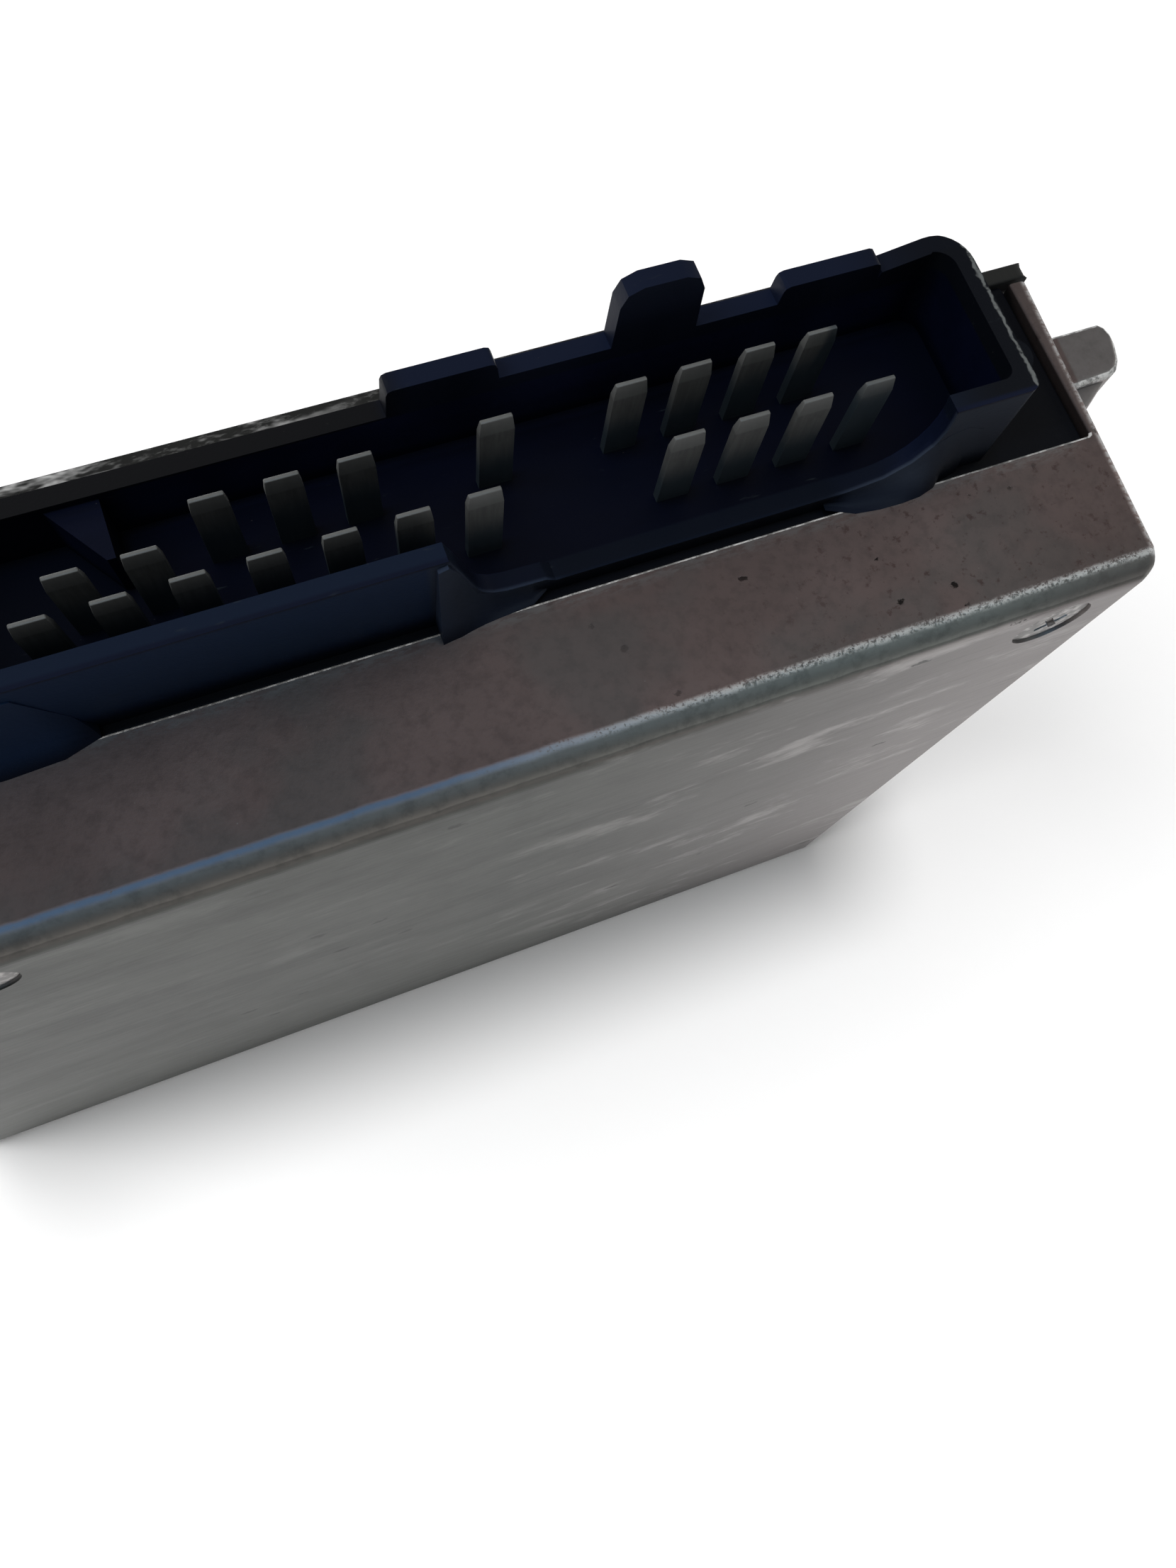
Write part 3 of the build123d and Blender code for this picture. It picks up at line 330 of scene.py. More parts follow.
def cast_metal():
    """Die-cast aluminium: mottled and pitted outside, worn bright at its edges, with a ground large face; a painted
    highlight along the crease, painted shade at the front face's right end and painted light on the right wall's top
    strip.
    """
    f, s = Finish("cast_metal"), case_settings()
    edge = Y_FACE + s.edge
    mottle, fine, grain = f.noise(14, 4), f.noise(1.3, 4, 0.65), f.noise(0.35, 2, 0.6)
    rub = f.noise((1.6, 0.5, 0.5), 4, 0.75, offset=(4, 4, 0))
    wander = (f.noise(3, 3, 0.6, offset=(2, 0, 7)) - 0.5) * 0.5
    face = (f.y + wander * 0.2).over(Y_FACE + 0.3, Y_FACE + 0.06)
    front = f.z.over(DEPTH - 0.6, DEPTH - 0.1)
    left, dimple = f.x.over(16, -12), dimple_zone(f)
    spots = f.cells((2.9, 2.3, 2.3)) + f.noise(0.5, 3, 0.7, offset=(1, 1, 1)) * 0.34
    pits = spots.over(0.31, 0.25) * f.noise(7, 2, offset=(7, 2, 0)).over(0.42, 0.52) * f.x.over(-6, 26) * front
    # line: worn crease that also carries a painted highlight
    line = crease_wear_and_highlight(f, s, wander, rub, left)
    out = (f.x - X_MID).math("ABSOLUTE") - (f.y - Y_FACE) * 0.043
    side = out.over(s.half - 2.3, s.half - 1.7) * front * rub.over(0.42, 0.54)
    # painted light: the top of the right side wall beside the flange
    strip_painted_light = f.x.over(49.6, 50.2) * f.y.over(-5.5, -4.0) * front
    lip = (f.y + wander * 1.8).over(LIP - 1.45, LIP - 0.35) * front * rub.over(0.42, 0.56) * f.x.over(50, 48)
    seam = (f.y + wander * 0.3).over(Y_FACE + 0.42, Y_FACE + 0.34)

    skin = f.mix(f.x.over(-20, 25), (0.24, 0.225, 0.205), shade(s.skin, 2.2))
    skin = f.mix(fine.over(0.45, 0.7) * 0.3, skin, shade(s.skin, 0.6))
    cast = f.laid(
        front_marks(f, cast_skin(f, s, mottle, fine), pits, front),
        ((f.y + wander).over(edge - 0.1, edge - 0.5) * (1 - face) * (1 - dimple) * 0.9, skin),
        # painted shade: the front face darker towards its right end
        (f.x.over(33, 50) * 0.45, shade(s.metal, 0.45)),
        # painted light on that strip
        (strip_painted_light * 0.2, (0.19, 0.182, 0.178)),
        (out.over(s.half - 1.0, s.half - 0.7) * 0.5, f.mix(fine, (0.5, 0.5, 0.49), (0.3, 0.3, 0.29))),
        # painted highlight along the crease, bluish at the left and silver at the right, also laid on the worn side
        # edges
        (line * 0.9 + side * 0.8, f.mix(left, (0.46, 0.47, 0.47), (0.07, 0.13, 0.22))),
        (lip * 0.5, (0.38, 0.37, 0.36)),
        (seam * 0.5 * (1 - dimple), (0.035, 0.036, 0.035)))

    brush, band = f.noise((26, 4, 0.8), 5, 0.7, turn=4), f.noise((60, 9, 9), 3, 0.6, turn=-3, offset=(1, 0, 3))
    base = f.mix(face, cast, ground_face(f, s, wander, brush, band))
    cast_rough = 0.5 + mottle * 0.1 + fine * 0.1 - line * (1 - left) * 0.2
    rough = cast_rough * (1 - face) + (0.4 + brush * 0.14 + band * 0.06) * face
    height = grain * 0.4 * (1 - face) + fine * 0.4 + (1 - pits) * 0.6 + brush * face * 0.6 + line * rub * 1.2
    return f.done(base, rough, 1 - (line * 0.45 + side * 0.55) * (1 - face), bump=height, strength=0.5, depth=0.07)


def worn_metal():
    """Ragged bright burr along a cut edge, broken by dirt."""
    f = Finish("worn_metal")
    wear, gap = f.noise(0.9, 4, 0.75), f.noise((5, 2, 2), 3, 0.6, offset=(3, 1, 1))
    base = f.mix(wear.over(0.4, 0.6), (0.2, 0.2, 0.195), (0.6, 0.6, 0.59))
    base = f.mix(gap.over(0.55, 0.66) * 0.6, base, (0.06, 0.056, 0.056))
    return f.done(base, 0.45 + wear * 0.15, 0.35, bump=wear + f.noise(0.3, 2) * 0.5, strength=0.8, depth=0.12)


def cover_sheet():
    """Pressed sheet, dull; its front edge is dark, with lighter rubbed patches and painted highlights at its left."""
    f = Finish("cover_sheet")
    brush, blot = f.noise((0.7, 4, 30), 4, 0.65), f.noise(12, 3)
    base = f.mix(blot.over(0.35, 0.65), (0.26, 0.26, 0.255), (0.34, 0.34, 0.33))
    base = f.mix(brush.over(0.4, 0.7) * 0.5, base, (0.42, 0.42, 0.41))
    edge = f.z.over(DEPTH - 2.0, DEPTH - 1.2)
    # patch: painted highlights, white patches along the front edge at the left
    patch = f.noise((9, 3, 3), 4, 0.7, offset=(0, 3, 1)).over(0.5, 0.66) * f.x.over(-4, -16)
    rub = f.noise((1.2, 0.4, 0.6), 4, 0.7, offset=(7, 3, 1)).over(0.5, 0.66)
    base = f.mix(edge, base, f.mix(rub * 0.35 * f.x.over(42, 38), (0.014, 0.014, 0.013), (0.2, 0.2, 0.195)))
    base = f.mix(edge * patch * 0.75, base, (0.75, 0.75, 0.74))
    rough = 0.3 + brush * 0.18 + edge * 0.35
    return f.done(base, rough, 1 - edge * 0.7, bump=brush * 0.5 + blot * 0.3, strength=0.35, depth=0.05)


def socket_shades(f, base):
    """Darkens the socket's inside and foot, and gives its rims and the near wall's outside the light they catch."""
    inside = f.y.over(NEAR_Y + 0.7, NEAR_Y + 1.2) * f.z.over(DEPTH + 8.75, DEPTH + 8.5)
    foot_side = f.y.over(NEAR_Y + 1.7, NEAR_Y + 1.4)
    near_rim = f.z.over(DEPTH + 7.0, FAR_RIM) * f.y.over(NEAR_Y + 0.2, NEAR_Y + 0.5)
    far_rim = f.z.over(DEPTH + 5.9, DEPTH + 6.15) * f.y.over(FAR_Y - 1.75, FAR_Y - 1.45)
    outside = f.y.over(NEAR_Y + 0.35, NEAR_Y + 0.05) * f.z.over(DEPTH - 0.4, DEPTH + 2.2)
    outside = outside * f.z.over(DEPTH + 8.75, DEPTH + 8.45)
    low_wall = f.x.over(2.5, 5.5) * f.x.over(28.5, 26.5) * f.z.over(DEPTH + 2.2, DEPTH + 1.8) * foot_side
    feet = (f.x.over(-5.6, -5.0) * f.x.over(6, 3)).math("MAXIMUM", f.x.over(22, 30))
    bluish = f.mix(f.x.over(30, 39), (0.004, 0.0066, 0.017), (0.0024, 0.0033, 0.006))
    blue = f.mix(f.x.over(18, 34), (0.0038, 0.0125, 0.037), (0.0155, 0.0235, 0.041))
    return f.laid(
        base,
        (f.z.over(DEPTH + 2.6, DEPTH + 1.2) * 0.94, (0.0003, 0.0006, 0.0021)),
        (foot_side * 0.85, (0.0024, 0.004, 0.0092)),
        (inside * f.y.over(FAR_Y - 2.4, FAR_Y - 2.0) * 0.45, (0.0018, 0.003, 0.0105)),
        (inside * f.x.over(36, 39).math("MAXIMUM", f.x.over(-22, -24.5)) * 0.85, (0.0006, 0.0011, 0.0032)),
        (near_rim, f.mix(f.x.over(30, 39), (0.004, 0.0078, 0.0185), (0.0022, 0.003, 0.005))),
        (far_rim, f.mix(f.x.over(-2, -5), bluish, (0.004, 0.0042, 0.005))),
        (outside, f.mix(feet * 0.7, blue, (0.019, 0.025, 0.038))),
        (low_wall * 0.85, (0.0016, 0.0028, 0.0062)),
        (f.z.over(DEPTH - 0.3, DEPTH - 0.6) * 0.9, (0.0012, 0.0015, 0.0026)))


def moulded_plastic():
    """Glass-filled black moulding with a satin skin, a light burr at its right end, dust and scuffs."""
    f, s = Finish("moulded_plastic"), header_settings()
    skin, flow = f.noise(0.25, 2, 0.6), f.noise((16, 5, 5), 3, 0.6)
    base = socket_shades(f, f.mix(flow.over(0.35, 0.7), shade(s.plastic, 0.8), shade(s.plastic, 1.4)))
    wavy = f.x + (f.noise(2.2, 3, 0.7, offset=(5, 5, 5)) - 0.5) * 1.1
    burr = wavy.over(s.half - 0.42, s.half - 0.28) * wavy.over(s.half, s.half - 0.16)
    burr = burr * f.z.over(DEPTH + 8.1, DEPTH + 8.5) * f.noise(1.2, 3, 0.7).over(0.3, 0.45)
    dust = f.noise(0.5, 3, 0.7, offset=(3, 3, 9)).over(0.72, 0.77)
    scuff = f.noise((3.5, 0.7, 0.7), 3, 0.7, turn=-15, offset=(2, 8, 1)).over(0.66, 0.76)
    base = f.laid(base, (burr * 0.7, (0.13, 0.14, 0.14)), (dust * 0.35, (0.05, 0.05, 0.05)),
                  (scuff * 0.3, (0.02, 0.026, 0.03)))
    return f.done(base, 0.42 + flow * 0.12 + scuff * 0.1, bump=skin * 0.35 + flow * 0.8, strength=0.45, depth=0.07,
                  shine=0.13)


def blade_plating():
    """Dull tin on the contacts, with painted light at the tips and the socket walls' painted shadow darkening them
    towards their feet.
    """
    f, s = Finish("blade_plating"), header_settings()
    rub, blot = f.noise((0.35, 0.35, 4), 4, 0.65), f.noise(1.2, 3, 0.6)
    upper_row = f.y.over(3.5, 4.5)
    # painted shadow of the socket's walls: how much higher it reaches on each blade, by its row and place
    raised = f.x.over(27.5, 28.5) * 3.4 + f.x.over(-3, -5) * f.y.over(2.5, 2.0) * 1.9
    raised = raised + f.x.over(18, 22) * upper_row * 1.2 + f.x.over(-1, -3) * upper_row * 0.8
    low = (f.z + (blot - 0.5) * 1.2 - raised).over(DEPTH + 7.0, DEPTH + 2.8)
    tip = f.z.over(DEPTH + 7.55, DEPTH + 7.8)
    base = f.laid(
        f.mix(rub.over(0.35, 0.65), shade(s.blade, 0.85), shade(s.blade, 1.1)),
        (blot.over(0.5, 0.75) * 0.35, shade(s.blade, 0.6)),
        # painted light on the tips, and painted shadow towards the feet
        (tip * 0.6, shade(s.blade, 1.55)),
        (low * 0.85, (0.018, 0.033, 0.047)))
    return f.done(base, 0.45 + rub * 0.12, 0.55, bump=rub * 0.6 + blot * 0.4, strength=0.3, depth=0.03, shine=0.3)


def screw_steel():
    """Zinc plating, brighter where the driver has rubbed it."""
    f = Finish("screw_steel")
    blot = f.noise(0.8, 3)
    base = f.mix(blot.over(0.4, 0.7), (0.13, 0.124, 0.12), (0.42, 0.4, 0.39))
    return f.done(base, 0.34 + blot * 0.2, 1.0, bump=blot, strength=0.3, depth=0.04)


def solder_resist():
    """Green board with darker ground and lighter tracks over a glass weave."""
    f = Finish("solder_resist")
    weave = f.noise((0.6, 3, 4), 2) * 0.5 + f.noise((4, 3, 0.6), 2) * 0.5
    lengthwise, crosswise = f.noise((1.4, 40, 22), 1, 0.3), f.noise((22, 40, 1.4), 1, 0.3)
    track = lengthwise.over(0.52, 0.56) * crosswise.over(0.4, 0.44)
    base = f.mix(track * 0.7, (0.014, 0.06, 0.024), (0.05, 0.15, 0.05))
    return f.done(base, 0.32 + weave * 0.1, bump=track + weave * 0.4, strength=0.5, depth=0.05)


def shrunk_sleeve():
    """Dark blue sleeve of the capacitors, which leaves their metal tops bare."""
    f = Finish("shrunk_sleeve")
    film, top = f.noise(3, 2), f.y.over(10.0, 10.5)
    base = f.mix(top, f.mix(film, (0.012, 0.02, 0.06), (0.02, 0.03, 0.09)), (0.55, 0.55, 0.55))
    return f.done(base, 0.28 + film * 0.1, top * 0.9, bump=film, strength=0.2, depth=0.05)


def varnished_winding():
    """Copper turns between the choke's dark ends."""
    f = Finish("varnished_winding")
    turns = (f.y * (2 * pi / 0.7)).math("SINE")
    body = f.y.over(-6.8, -6.6) * f.y.over(2.3, 2.1)
    copper = f.mix(turns * 0.5 + 0.5, (0.2, 0.07, 0.03), (0.5, 0.2, 0.09))
    return f.done(f.mix(body, (0.03, 0.028, 0.027), copper), 0.35 + turns * 0.05, body * 0.6, bump=turns * body,
                  strength=0.6, depth=0.2)


def grained(name, grain, dark, light, rough, uneven=0.1, metallic=0.0, strength=0.2, depth=0.03):
    """Finish of two tones and one grain, which is a noise's size, detail and roughness."""
    f = Finish(name)
    noise = f.noise(*grain)
    return f.done(f.mix(noise, dark, light), rough + noise * uneven, metallic, bump=noise, strength=strength,
                  depth=depth)


def inner_finishes():
    """Finishes of the kept inner nodes, by slot."""
    return {
        "board": solder_resist(),
        "chip_body": grained("moulded_epoxy", (0.3, 2), (0.012, 0.012, 0.013), (0.03, 0.03, 0.031), 0.55, strength=0.3),
        "capacitor_sleeve": shrunk_sleeve(),
        "film_case": grained("film_case", (0.6, 3), (0.32, 0.07, 0.03), (0.45, 0.11, 0.05), 0.38),
        "resistor_body": grained("fired_cement", (0.4, 4, 0.7), (0.5, 0.48, 0.42), (0.72, 0.7, 0.64), 0.8,
                                 strength=0.5, depth=0.06),
        "crystal_can": grained("tinned_can", (0.8, 3), (0.5, 0.5, 0.48), (0.7, 0.7, 0.68), 0.25, uneven=0.15,
                               metallic=1.0),
        "winding": varnished_winding(),
        "clamp": grained("mill_aluminium", ((0.4, 0.4, 12), 3), (0.42, 0.42, 0.43), (0.62, 0.62, 0.63), 0.3,
                         uneven=0.15, metallic=1.0, strength=0.3),
        "seal": grained("sealing_compound", (0.9, 3), (0.012, 0.014, 0.013), (0.03, 0.034, 0.03), 0.5, uneven=0.2,
                        strength=0.5, depth=0.1),
        "insulator": grained("silicone_pad", (1.2, 3), (0.4, 0.41, 0.42), (0.52, 0.53, 0.54), 0.6),
        "screw_steel": screw_steel(),
    }


# -------------------- mesh tools

def block(bm, x0, x1, y0, y1, z0, z1):
    """Adds a box between two corners and gives its vertices."""
    place = Matrix.Translation(((x0 + x1) / 2, (y0 + y1) / 2, (z0 + z1) / 2))
    size = Matrix.Diagonal((x1 - x0, y1 - y0, z1 - z0, 1))
    return bmesh.ops.create_cube(bm, size=1.0, matrix=place @ size)["verts"]


def rod(bm, x, z, radius, y0, y1, segments=40):
    """Adds a round bar along Y."""
    place = Matrix.Translation((x, (y0 + y1) / 2, z)) @ Matrix.Rotation(radians(-90), 4, "X")
    bmesh.ops.create_cone(bm, cap_ends=True, segments=segments, radius1=radius, radius2=radius, depth=y1 - y0,
                          matrix=place)


def prism(points, axis, start, end):
    """Mesh of an outline raised along an axis; points are the other two coordinates, in order."""
    def at(a, b, c):
        return {"X": (c, a, b), "Y": (a, c, b), "Z": (a, b, c)}[axis]
    bm = bmesh.new()
    face = bm.faces.new([bm.verts.new(at(a, b, start)) for a, b in points])
    grown = bmesh.ops.extrude_face_region(bm, geom=[face])["geom"]
    verts = [g for g in grown if isinstance(g, bmesh.types.BMVert)]
    bmesh.ops.translate(bm, verts=verts, vec=at(0, 0, end - start))
    return bm


def rounded_outline(x0, x1, y0, y1, low, high, steps):
    """Corner points of a rounded rectangle, anticlockwise; low is the radius of its corners at y0, high at y1."""
    points = []
    for cx, cy, radius, turn in ((x1 - low, y0 + low, low, -90), (x1 - high, y1 - high, high, 0),
                                 (x0 + high, y1 - high, high, 90), (x0 + low, y0 + low, low, 180)):
        points += [tuple(Vector((cx, cy)) + Matrix.Rotation(radians(turn + 90 * k / steps), 2) @ Vector((radius, 0)))
                   for k in range(steps + 1)]
    return points


def tidy(bm):
    """Merges doubles and turns every face outwards."""
    bmesh.ops.remove_doubles(bm, verts=bm.verts, dist=1e-4)
    bmesh.ops.recalc_face_normals(bm, faces=bm.faces)
    return bm


def linked(name, data):
    """New object in the scene."""
    made = bpy.data.objects.new(name, data)
    bpy.context.scene.collection.objects.link(made)
    return made


def mesh_object(name, bm):
    """New object in the scene that takes over a mesh."""
    mesh = bpy.data.meshes.new(name)
    bm.to_mesh(mesh)
    bm.free()
    return linked(name, mesh)


def settled(holder, others=()):
    """Mesh of an object after its modifiers, as a new bmesh; the objects go."""
    bpy.context.view_layer.update()
    ready = holder.evaluated_get(bpy.context.evaluated_depsgraph_get())
    bm = bmesh.new()
    bm.from_mesh(ready.to_mesh())
    for gone in (holder, *others):
        mesh = gone.data
        bpy.data.objects.remove(gone)
        bpy.data.meshes.remove(mesh)
    bmesh.ops.remove_doubles(bm, verts=bm.verts, dist=1e-4)
    return bm


def boolean(bm, tool, operation, crossing=False):
    """Mesh after an exact boolean with a tool, which may cross itself."""
    body, other = mesh_object("work", tidy(bm)), mesh_object("tool", tidy(tool))
    modifier = body.modifiers.new("boolean", "BOOLEAN")
    modifier.operation, modifier.solver, modifier.use_self, modifier.object = operation, "EXACT", crossing, other
    return settled(body, [other])


def carve(bm, tool, operation="DIFFERENCE"):
    """Cuts a shape away, or joins it on, and clears the edges left on flat faces."""
    bm = boolean(bm, tool, operation)
    bmesh.ops.dissolve_limit(bm, angle_limit=radians(0.5), verts=bm.verts, edges=bm.edges)
    return bm


def round_edges(bm, chosen, width, segments):
    """Rounds the edges that a test picks."""
    edges = [e for e in bm.edges if len(e.link_faces) == 2 and chosen(e)]
    bmesh.ops.bevel(bm, geom=edges, offset=width, offset_type="OFFSET", affect="EDGES", segments=segments, profile=0.5,
                    material=-1, clamp_overlap=True)
    return bm


def weighted_round(bm, weight, width, segments):
    """Rounds edges by shares of a width, so that different roundings meet cleanly."""
    layer = bm.edges.layers.float.new("bevel_weight_edge")
    for e in bm.edges:
        e[layer] = weight(e)
    holder = mesh_object("work", tidy(bm))
    modifier = holder.modifiers.new("round", "BEVEL")
    modifier.width, modifier.segments, modifier.limit_method, modifier.profile = width, segments, "WEIGHT", 0.5
    return settled(holder)


def sharp(e, least):
    """Whether two faces meet at an edge by more than an angle in degrees."""
    return len(e.link_faces) == 2 and e.calc_face_angle(0) > radians(least)


def along(e, axis, least=0.95):
    """Whether an edge runs along an axis."""
    way = (e.verts[1].co - e.verts[0].co).normalized()
    return abs(way["XYZ".index(axis)]) > least


def middle(e):
    """Middle of an edge."""
    return (e.verts[0].co + e.verts[1].co) / 2


def piece(name, bm, finishes, node, smooth=32):
    """Turns a mesh into the finished object, in metres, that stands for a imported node."""
    bmesh.ops.scale(tidy(bm), vec=(MM,) * 3, verts=bm.verts)
    for face in bm.faces:
        face.smooth = True
    made = mesh_object(name, bm)
    made.data.set_sharp_from_angle(angle=radians(smooth))
    for finish in finishes:
        made.data.materials.append(finish)
    made.modifiers.new("even shading", "WEIGHTED_NORMAL").keep_sharp = True
    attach(made, "root")
    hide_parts(node)


# -------------------- case

def side_at(y):
    """Half of the drafted width at a height y."""
    s = case_settings()
    return s.half - s.draft * (Y_WALL - y) / (Y_WALL - Y_FACE)


def drafted(bm, y0, y1, z0, z1, inset):
    """Adds a box whose sides follow the case's draft."""
    for v in block(bm, -1, 1, y0, y1, z0, z1):
        v.co.x = X_MID + v.co.x * (side_at(v.co.y) - inset)


def lug(side):
    """Cast lug: flat front, rounded nose, a gusset under it and a screw hole."""
    root, tip = right_side() - case_settings().wall / 2, CASE_HIGH[0]
    rear = STEPPED - LUG_LENGTH

    def nose(e):
        """Share of the rounding: full along the front's lower edge, half along its upper one."""
        at = middle(e)
        if at.x < root + 0.1 or at.z <= STEPPED - 0.1:
            return 0
        return 1.0 if at.y < 3 else 0.5

    bm = prism([(root, 0.7), (tip - 1.9, 0.9), (tip - 1.0, 1.3), (tip - 0.4, 2.1), (tip - 0.05, 3.3), (tip, 4.6),
                (tip - 0.2, 5.3), (tip - 0.7, 5.8), (root, 5.8)], "Z", rear, STEPPED)
    bm = weighted_round(tidy(bm), nose, 1.1, 4)
    gusset = prism([(root, 1.2), (root, -1.4), (right_side() + 0.4, -0.9), (tip - 1.6, 1.2)], "Z", rear, STEPPED - 0.7)
    bm = carve(bm, weighted_round(tidy(gusset), lambda e: 1.0 if middle(e).z > STEPPED - 0.8 else 0, 0.4, 2), "UNION")
    hole = bmesh.new()
    rod(hole, (right_side() + tip) / 2, STEPPED - 4, 1.6, -3, 8)
    bm = carve(bm, hole)
    if side < 0:
        bmesh.ops.scale(bm, vec=(-1, 1, 1), verts=bm.verts)
        bmesh.ops.reverse_faces(bm, faces=bm.faces)
        bmesh.ops.translate(bm, vec=(2 * X_MID, 0, 0), verts=bm.verts)
    return bm


def make_case():
    s = case_settings()
    mouth = right_side() - CUT_FROM_SIDE
    bm = bmesh.new()
    drafted(bm, Y_FACE, Y_WALL, 0, DEPTH, 0)
    bm = weighted_round(bm, lambda e: 1.0 if middle(e).y < Y_FACE + 0.1 else (0.5 if along(e, "Y", 0.9) else 0),
                        s.edge, 8)
    hollow = bmesh.new()
    drafted(hollow, Y_FACE + FACE_T, Y_WALL + 1, s.wall, DEPTH - FRONT_T, s.wall)
    bm = carve(bm, hollow)
    bm = carve(bm, prism(rounded_outline(-mouth, mouth, LIP, Y_WALL + 6, 0.25, 0.25, 2), "Z", DEPTH - 4, DEPTH + 1))
    for side in (-1, 1):
        bm = carve(bm, lug(side), "UNION")
        dimple, x = bmesh.new(), side * (right_side() - DIMPLE_FROM_SIDE)
        rod(dimple, x, DIMPLE_Z, DIMPLE_R, Y_FACE - 1, DIMPLE_SEAT, segments=64)
        rod(dimple, x, DIMPLE_Z, DIMPLE_HOLE_R, Y_FACE + 0.5, Y_FACE + 4.0)
        bm = carve(bm, dimple)

    def at_dimple(v):
        return v.co.y < Y_FACE + 0.02 and v.co.z > DEPTH - 10

    def on_mouth(v):
        return v.co.z > DEPTH - 0.05 and v.co.y > LIP - 0.05 and (v.co.y < LIP + 0.3 or abs(abs(v.co.x) - mouth) < 0.3)

    for chosen, width in ((at_dimple, 0.22), (on_mouth, 0.2)):
        round_edges(bm, lambda e: sharp(e, 60) and all(chosen(v) for v in e.verts), width, 3)
    for face in bm.faces:
        c, n = face.calc_center_median(), face.normal
        on_lip = abs(c.y - LIP) < 0.25 and c.z > DEPTH - 0.25 and 0.1 < abs(n.z) < 0.985
        on_lug = abs(c.x - X_MID) > s.half + 0.3 and c.z > DEPTH - 1.2 and 0.2 < n.z < 0.98
        face.material_index = 1 if on_lip or on_lug else 0
    piece("case_shell", bm, [cast_metal(), worn_metal()], "housing")


def raised_field(inset, y1, end):
    """Block of the cover's raised field with sloping sides, or the same block set inwards for its hollow."""
    bm = bmesh.new()
    y0 = Y_RIM + (SHEET * 0.5 if inset == 0 else -1)
    for v in block(bm, -1, 1, y0, y1, 0, 1):
        pull = FIELD_LEAN * (v.co.y - Y_RIM)
        v.co.x *= right_side() - FIELD_FROM_SIDE - inset - pull
        v.co.z = end if v.co.z > 0.5 else FIELD_FROM_SIDE + inset + pull

    def rounding(e):
        """Share of the rounding: none at the open front end, full at the corners, less round the top."""
        if middle(e).z > DEPTH - 1 and not along(e, "Z", 0.5):
            return 0
        return 1.0 if along(e, "Y", 0.8) else (0.4 if middle(e).y > y1 - 0.1 else 0)

    return weighted_round(bm, rounding, 4.0 - inset, 7)


def make_cover():
    plate = bmesh.new()
    block(plate, COVER_LOW[0], COVER_HIGH[0], Y_RIM, Y_RIM + SHEET, 0, DEPTH)
    plate = weighted_round(plate, lambda e: 1.0 if along(e, "Y") else 0.22, 1.2, 5)
    bm = carve(plate, raised_field(0, Y_TOP, DEPTH), "UNION")
    bm = carve(bm, raised_field(SHEET, Y_TOP - SHEET, DEPTH + 5))
    holes = bmesh.new()
    for name in LID_SCREWS:
        rod(holes, *seat_of(name), LID_HOLE_R, Y_RIM - 1, Y_TOP)
    bm = carve(bm, holes)
    round_edges(bm, lambda e: sharp(e, 50) and middle(e).z > DEPTH - 0.02 and middle(e).y > Y_RIM + 1, 0.25, 2)
    piece("cover", bm, [cover_sheet()], "lid")


# -------------------- header

def near_wall(s):
    """Outline in X and Z of the near wall, from left to right along its rim; both ends of the low part are curved."""
    rim, low_end = DEPTH + s.rim, s.half - LOW_END
    fall = [(-3.9, rim), (-3.55, rim - 0.9), (-3.0, rim - 2.3), (-2.35, rim - 4.2), (-1.9, rim - 5.4),
            (-1.4, rim - 6.2), (-0.6, rim - 6.8), (0.4, FLOOR_Z + 0.75), (3.4, FLOOR_Z + 0.55),
            (4.2, FLOOR_Z)]
    rise = [(0.0, 0.0), (1.6, 0.1), (3.0, 0.4), (4.2, 0.95), (5.1, 1.7), (5.8, 2.7), (6.25, 3.9), (6.45, 5.2),
            (6.4, 6.6)]
    return fall + [(low_end + dx, FLOOR_Z + dz) for dx, dz in rise] + [(low_end + 6.2, rim)]


def far_wall_cut(s):
    """Outline in X and Z of what is cut away over the far wall's rim and its three tabs, from left to right."""
    rim, out, over = DEPTH + s.rim, s.half + 1, HEADER_TOP + 2
    points = [(-out, rim), (2.6 - s.half, rim), (3.4 - s.half, FAR_RIM - 1.1)]
    for x0, x1, foot, top, r in ((-3.95, 4.15, FAR_RIM - 1.1, TAB_TOP, 0.5), (13.0, 19.4, FAR_RIM, HEADER_TOP, 1.6),
                                 (s.half - 15.25, s.half - 7.15, FAR_RIM, TAB_TOP, 0.5)):
        points += [(x0 - 0.15, foot), (x0, top - r), (x0 + r * 0.3, top - r * 0.3), (x0 + r, top), (x1 - r, top),
                   (x1 - r * 0.3, top - r * 0.3), (x1, top - r), (x1 + 0.15, FAR_RIM)]
    return points + [(s.half - 6.8, FAR_RIM + 0.6), (s.half - 2.6, rim - 0.15), (s.half - 1.7, rim), (out, rim),
                     (out, over), (-out, over)]


def header_flange():
    """Flange in the case's cut-out, and the plug that fills the raised field's open end."""
    half, low, top = right_side() - CUT_FROM_SIDE - 0.35, STEPPED - 3.2, Y_TOP - SHEET
    wide = right_side() - FIELD_FROM_SIDE - 1.6
    narrow = wide - FIELD_LEAN * (top - Y_RIM)
    bm = prism(rounded_outline(-half, half, LIP + 0.1, Y_RIM, 0.3, 0.3, 2), "Z", low, STEPPED)
    bm = weighted_round(bm, lambda e: 1.0 if middle(e).z > STEPPED - 0.1 else 0, 0.25, 2)
    return carve(bm, prism([(-wide, Y_RIM - 1), (wide, Y_RIM - 1), (narrow, top), (-narrow, top)], "Z", low,
                           STEPPED - 0.01), "UNION")


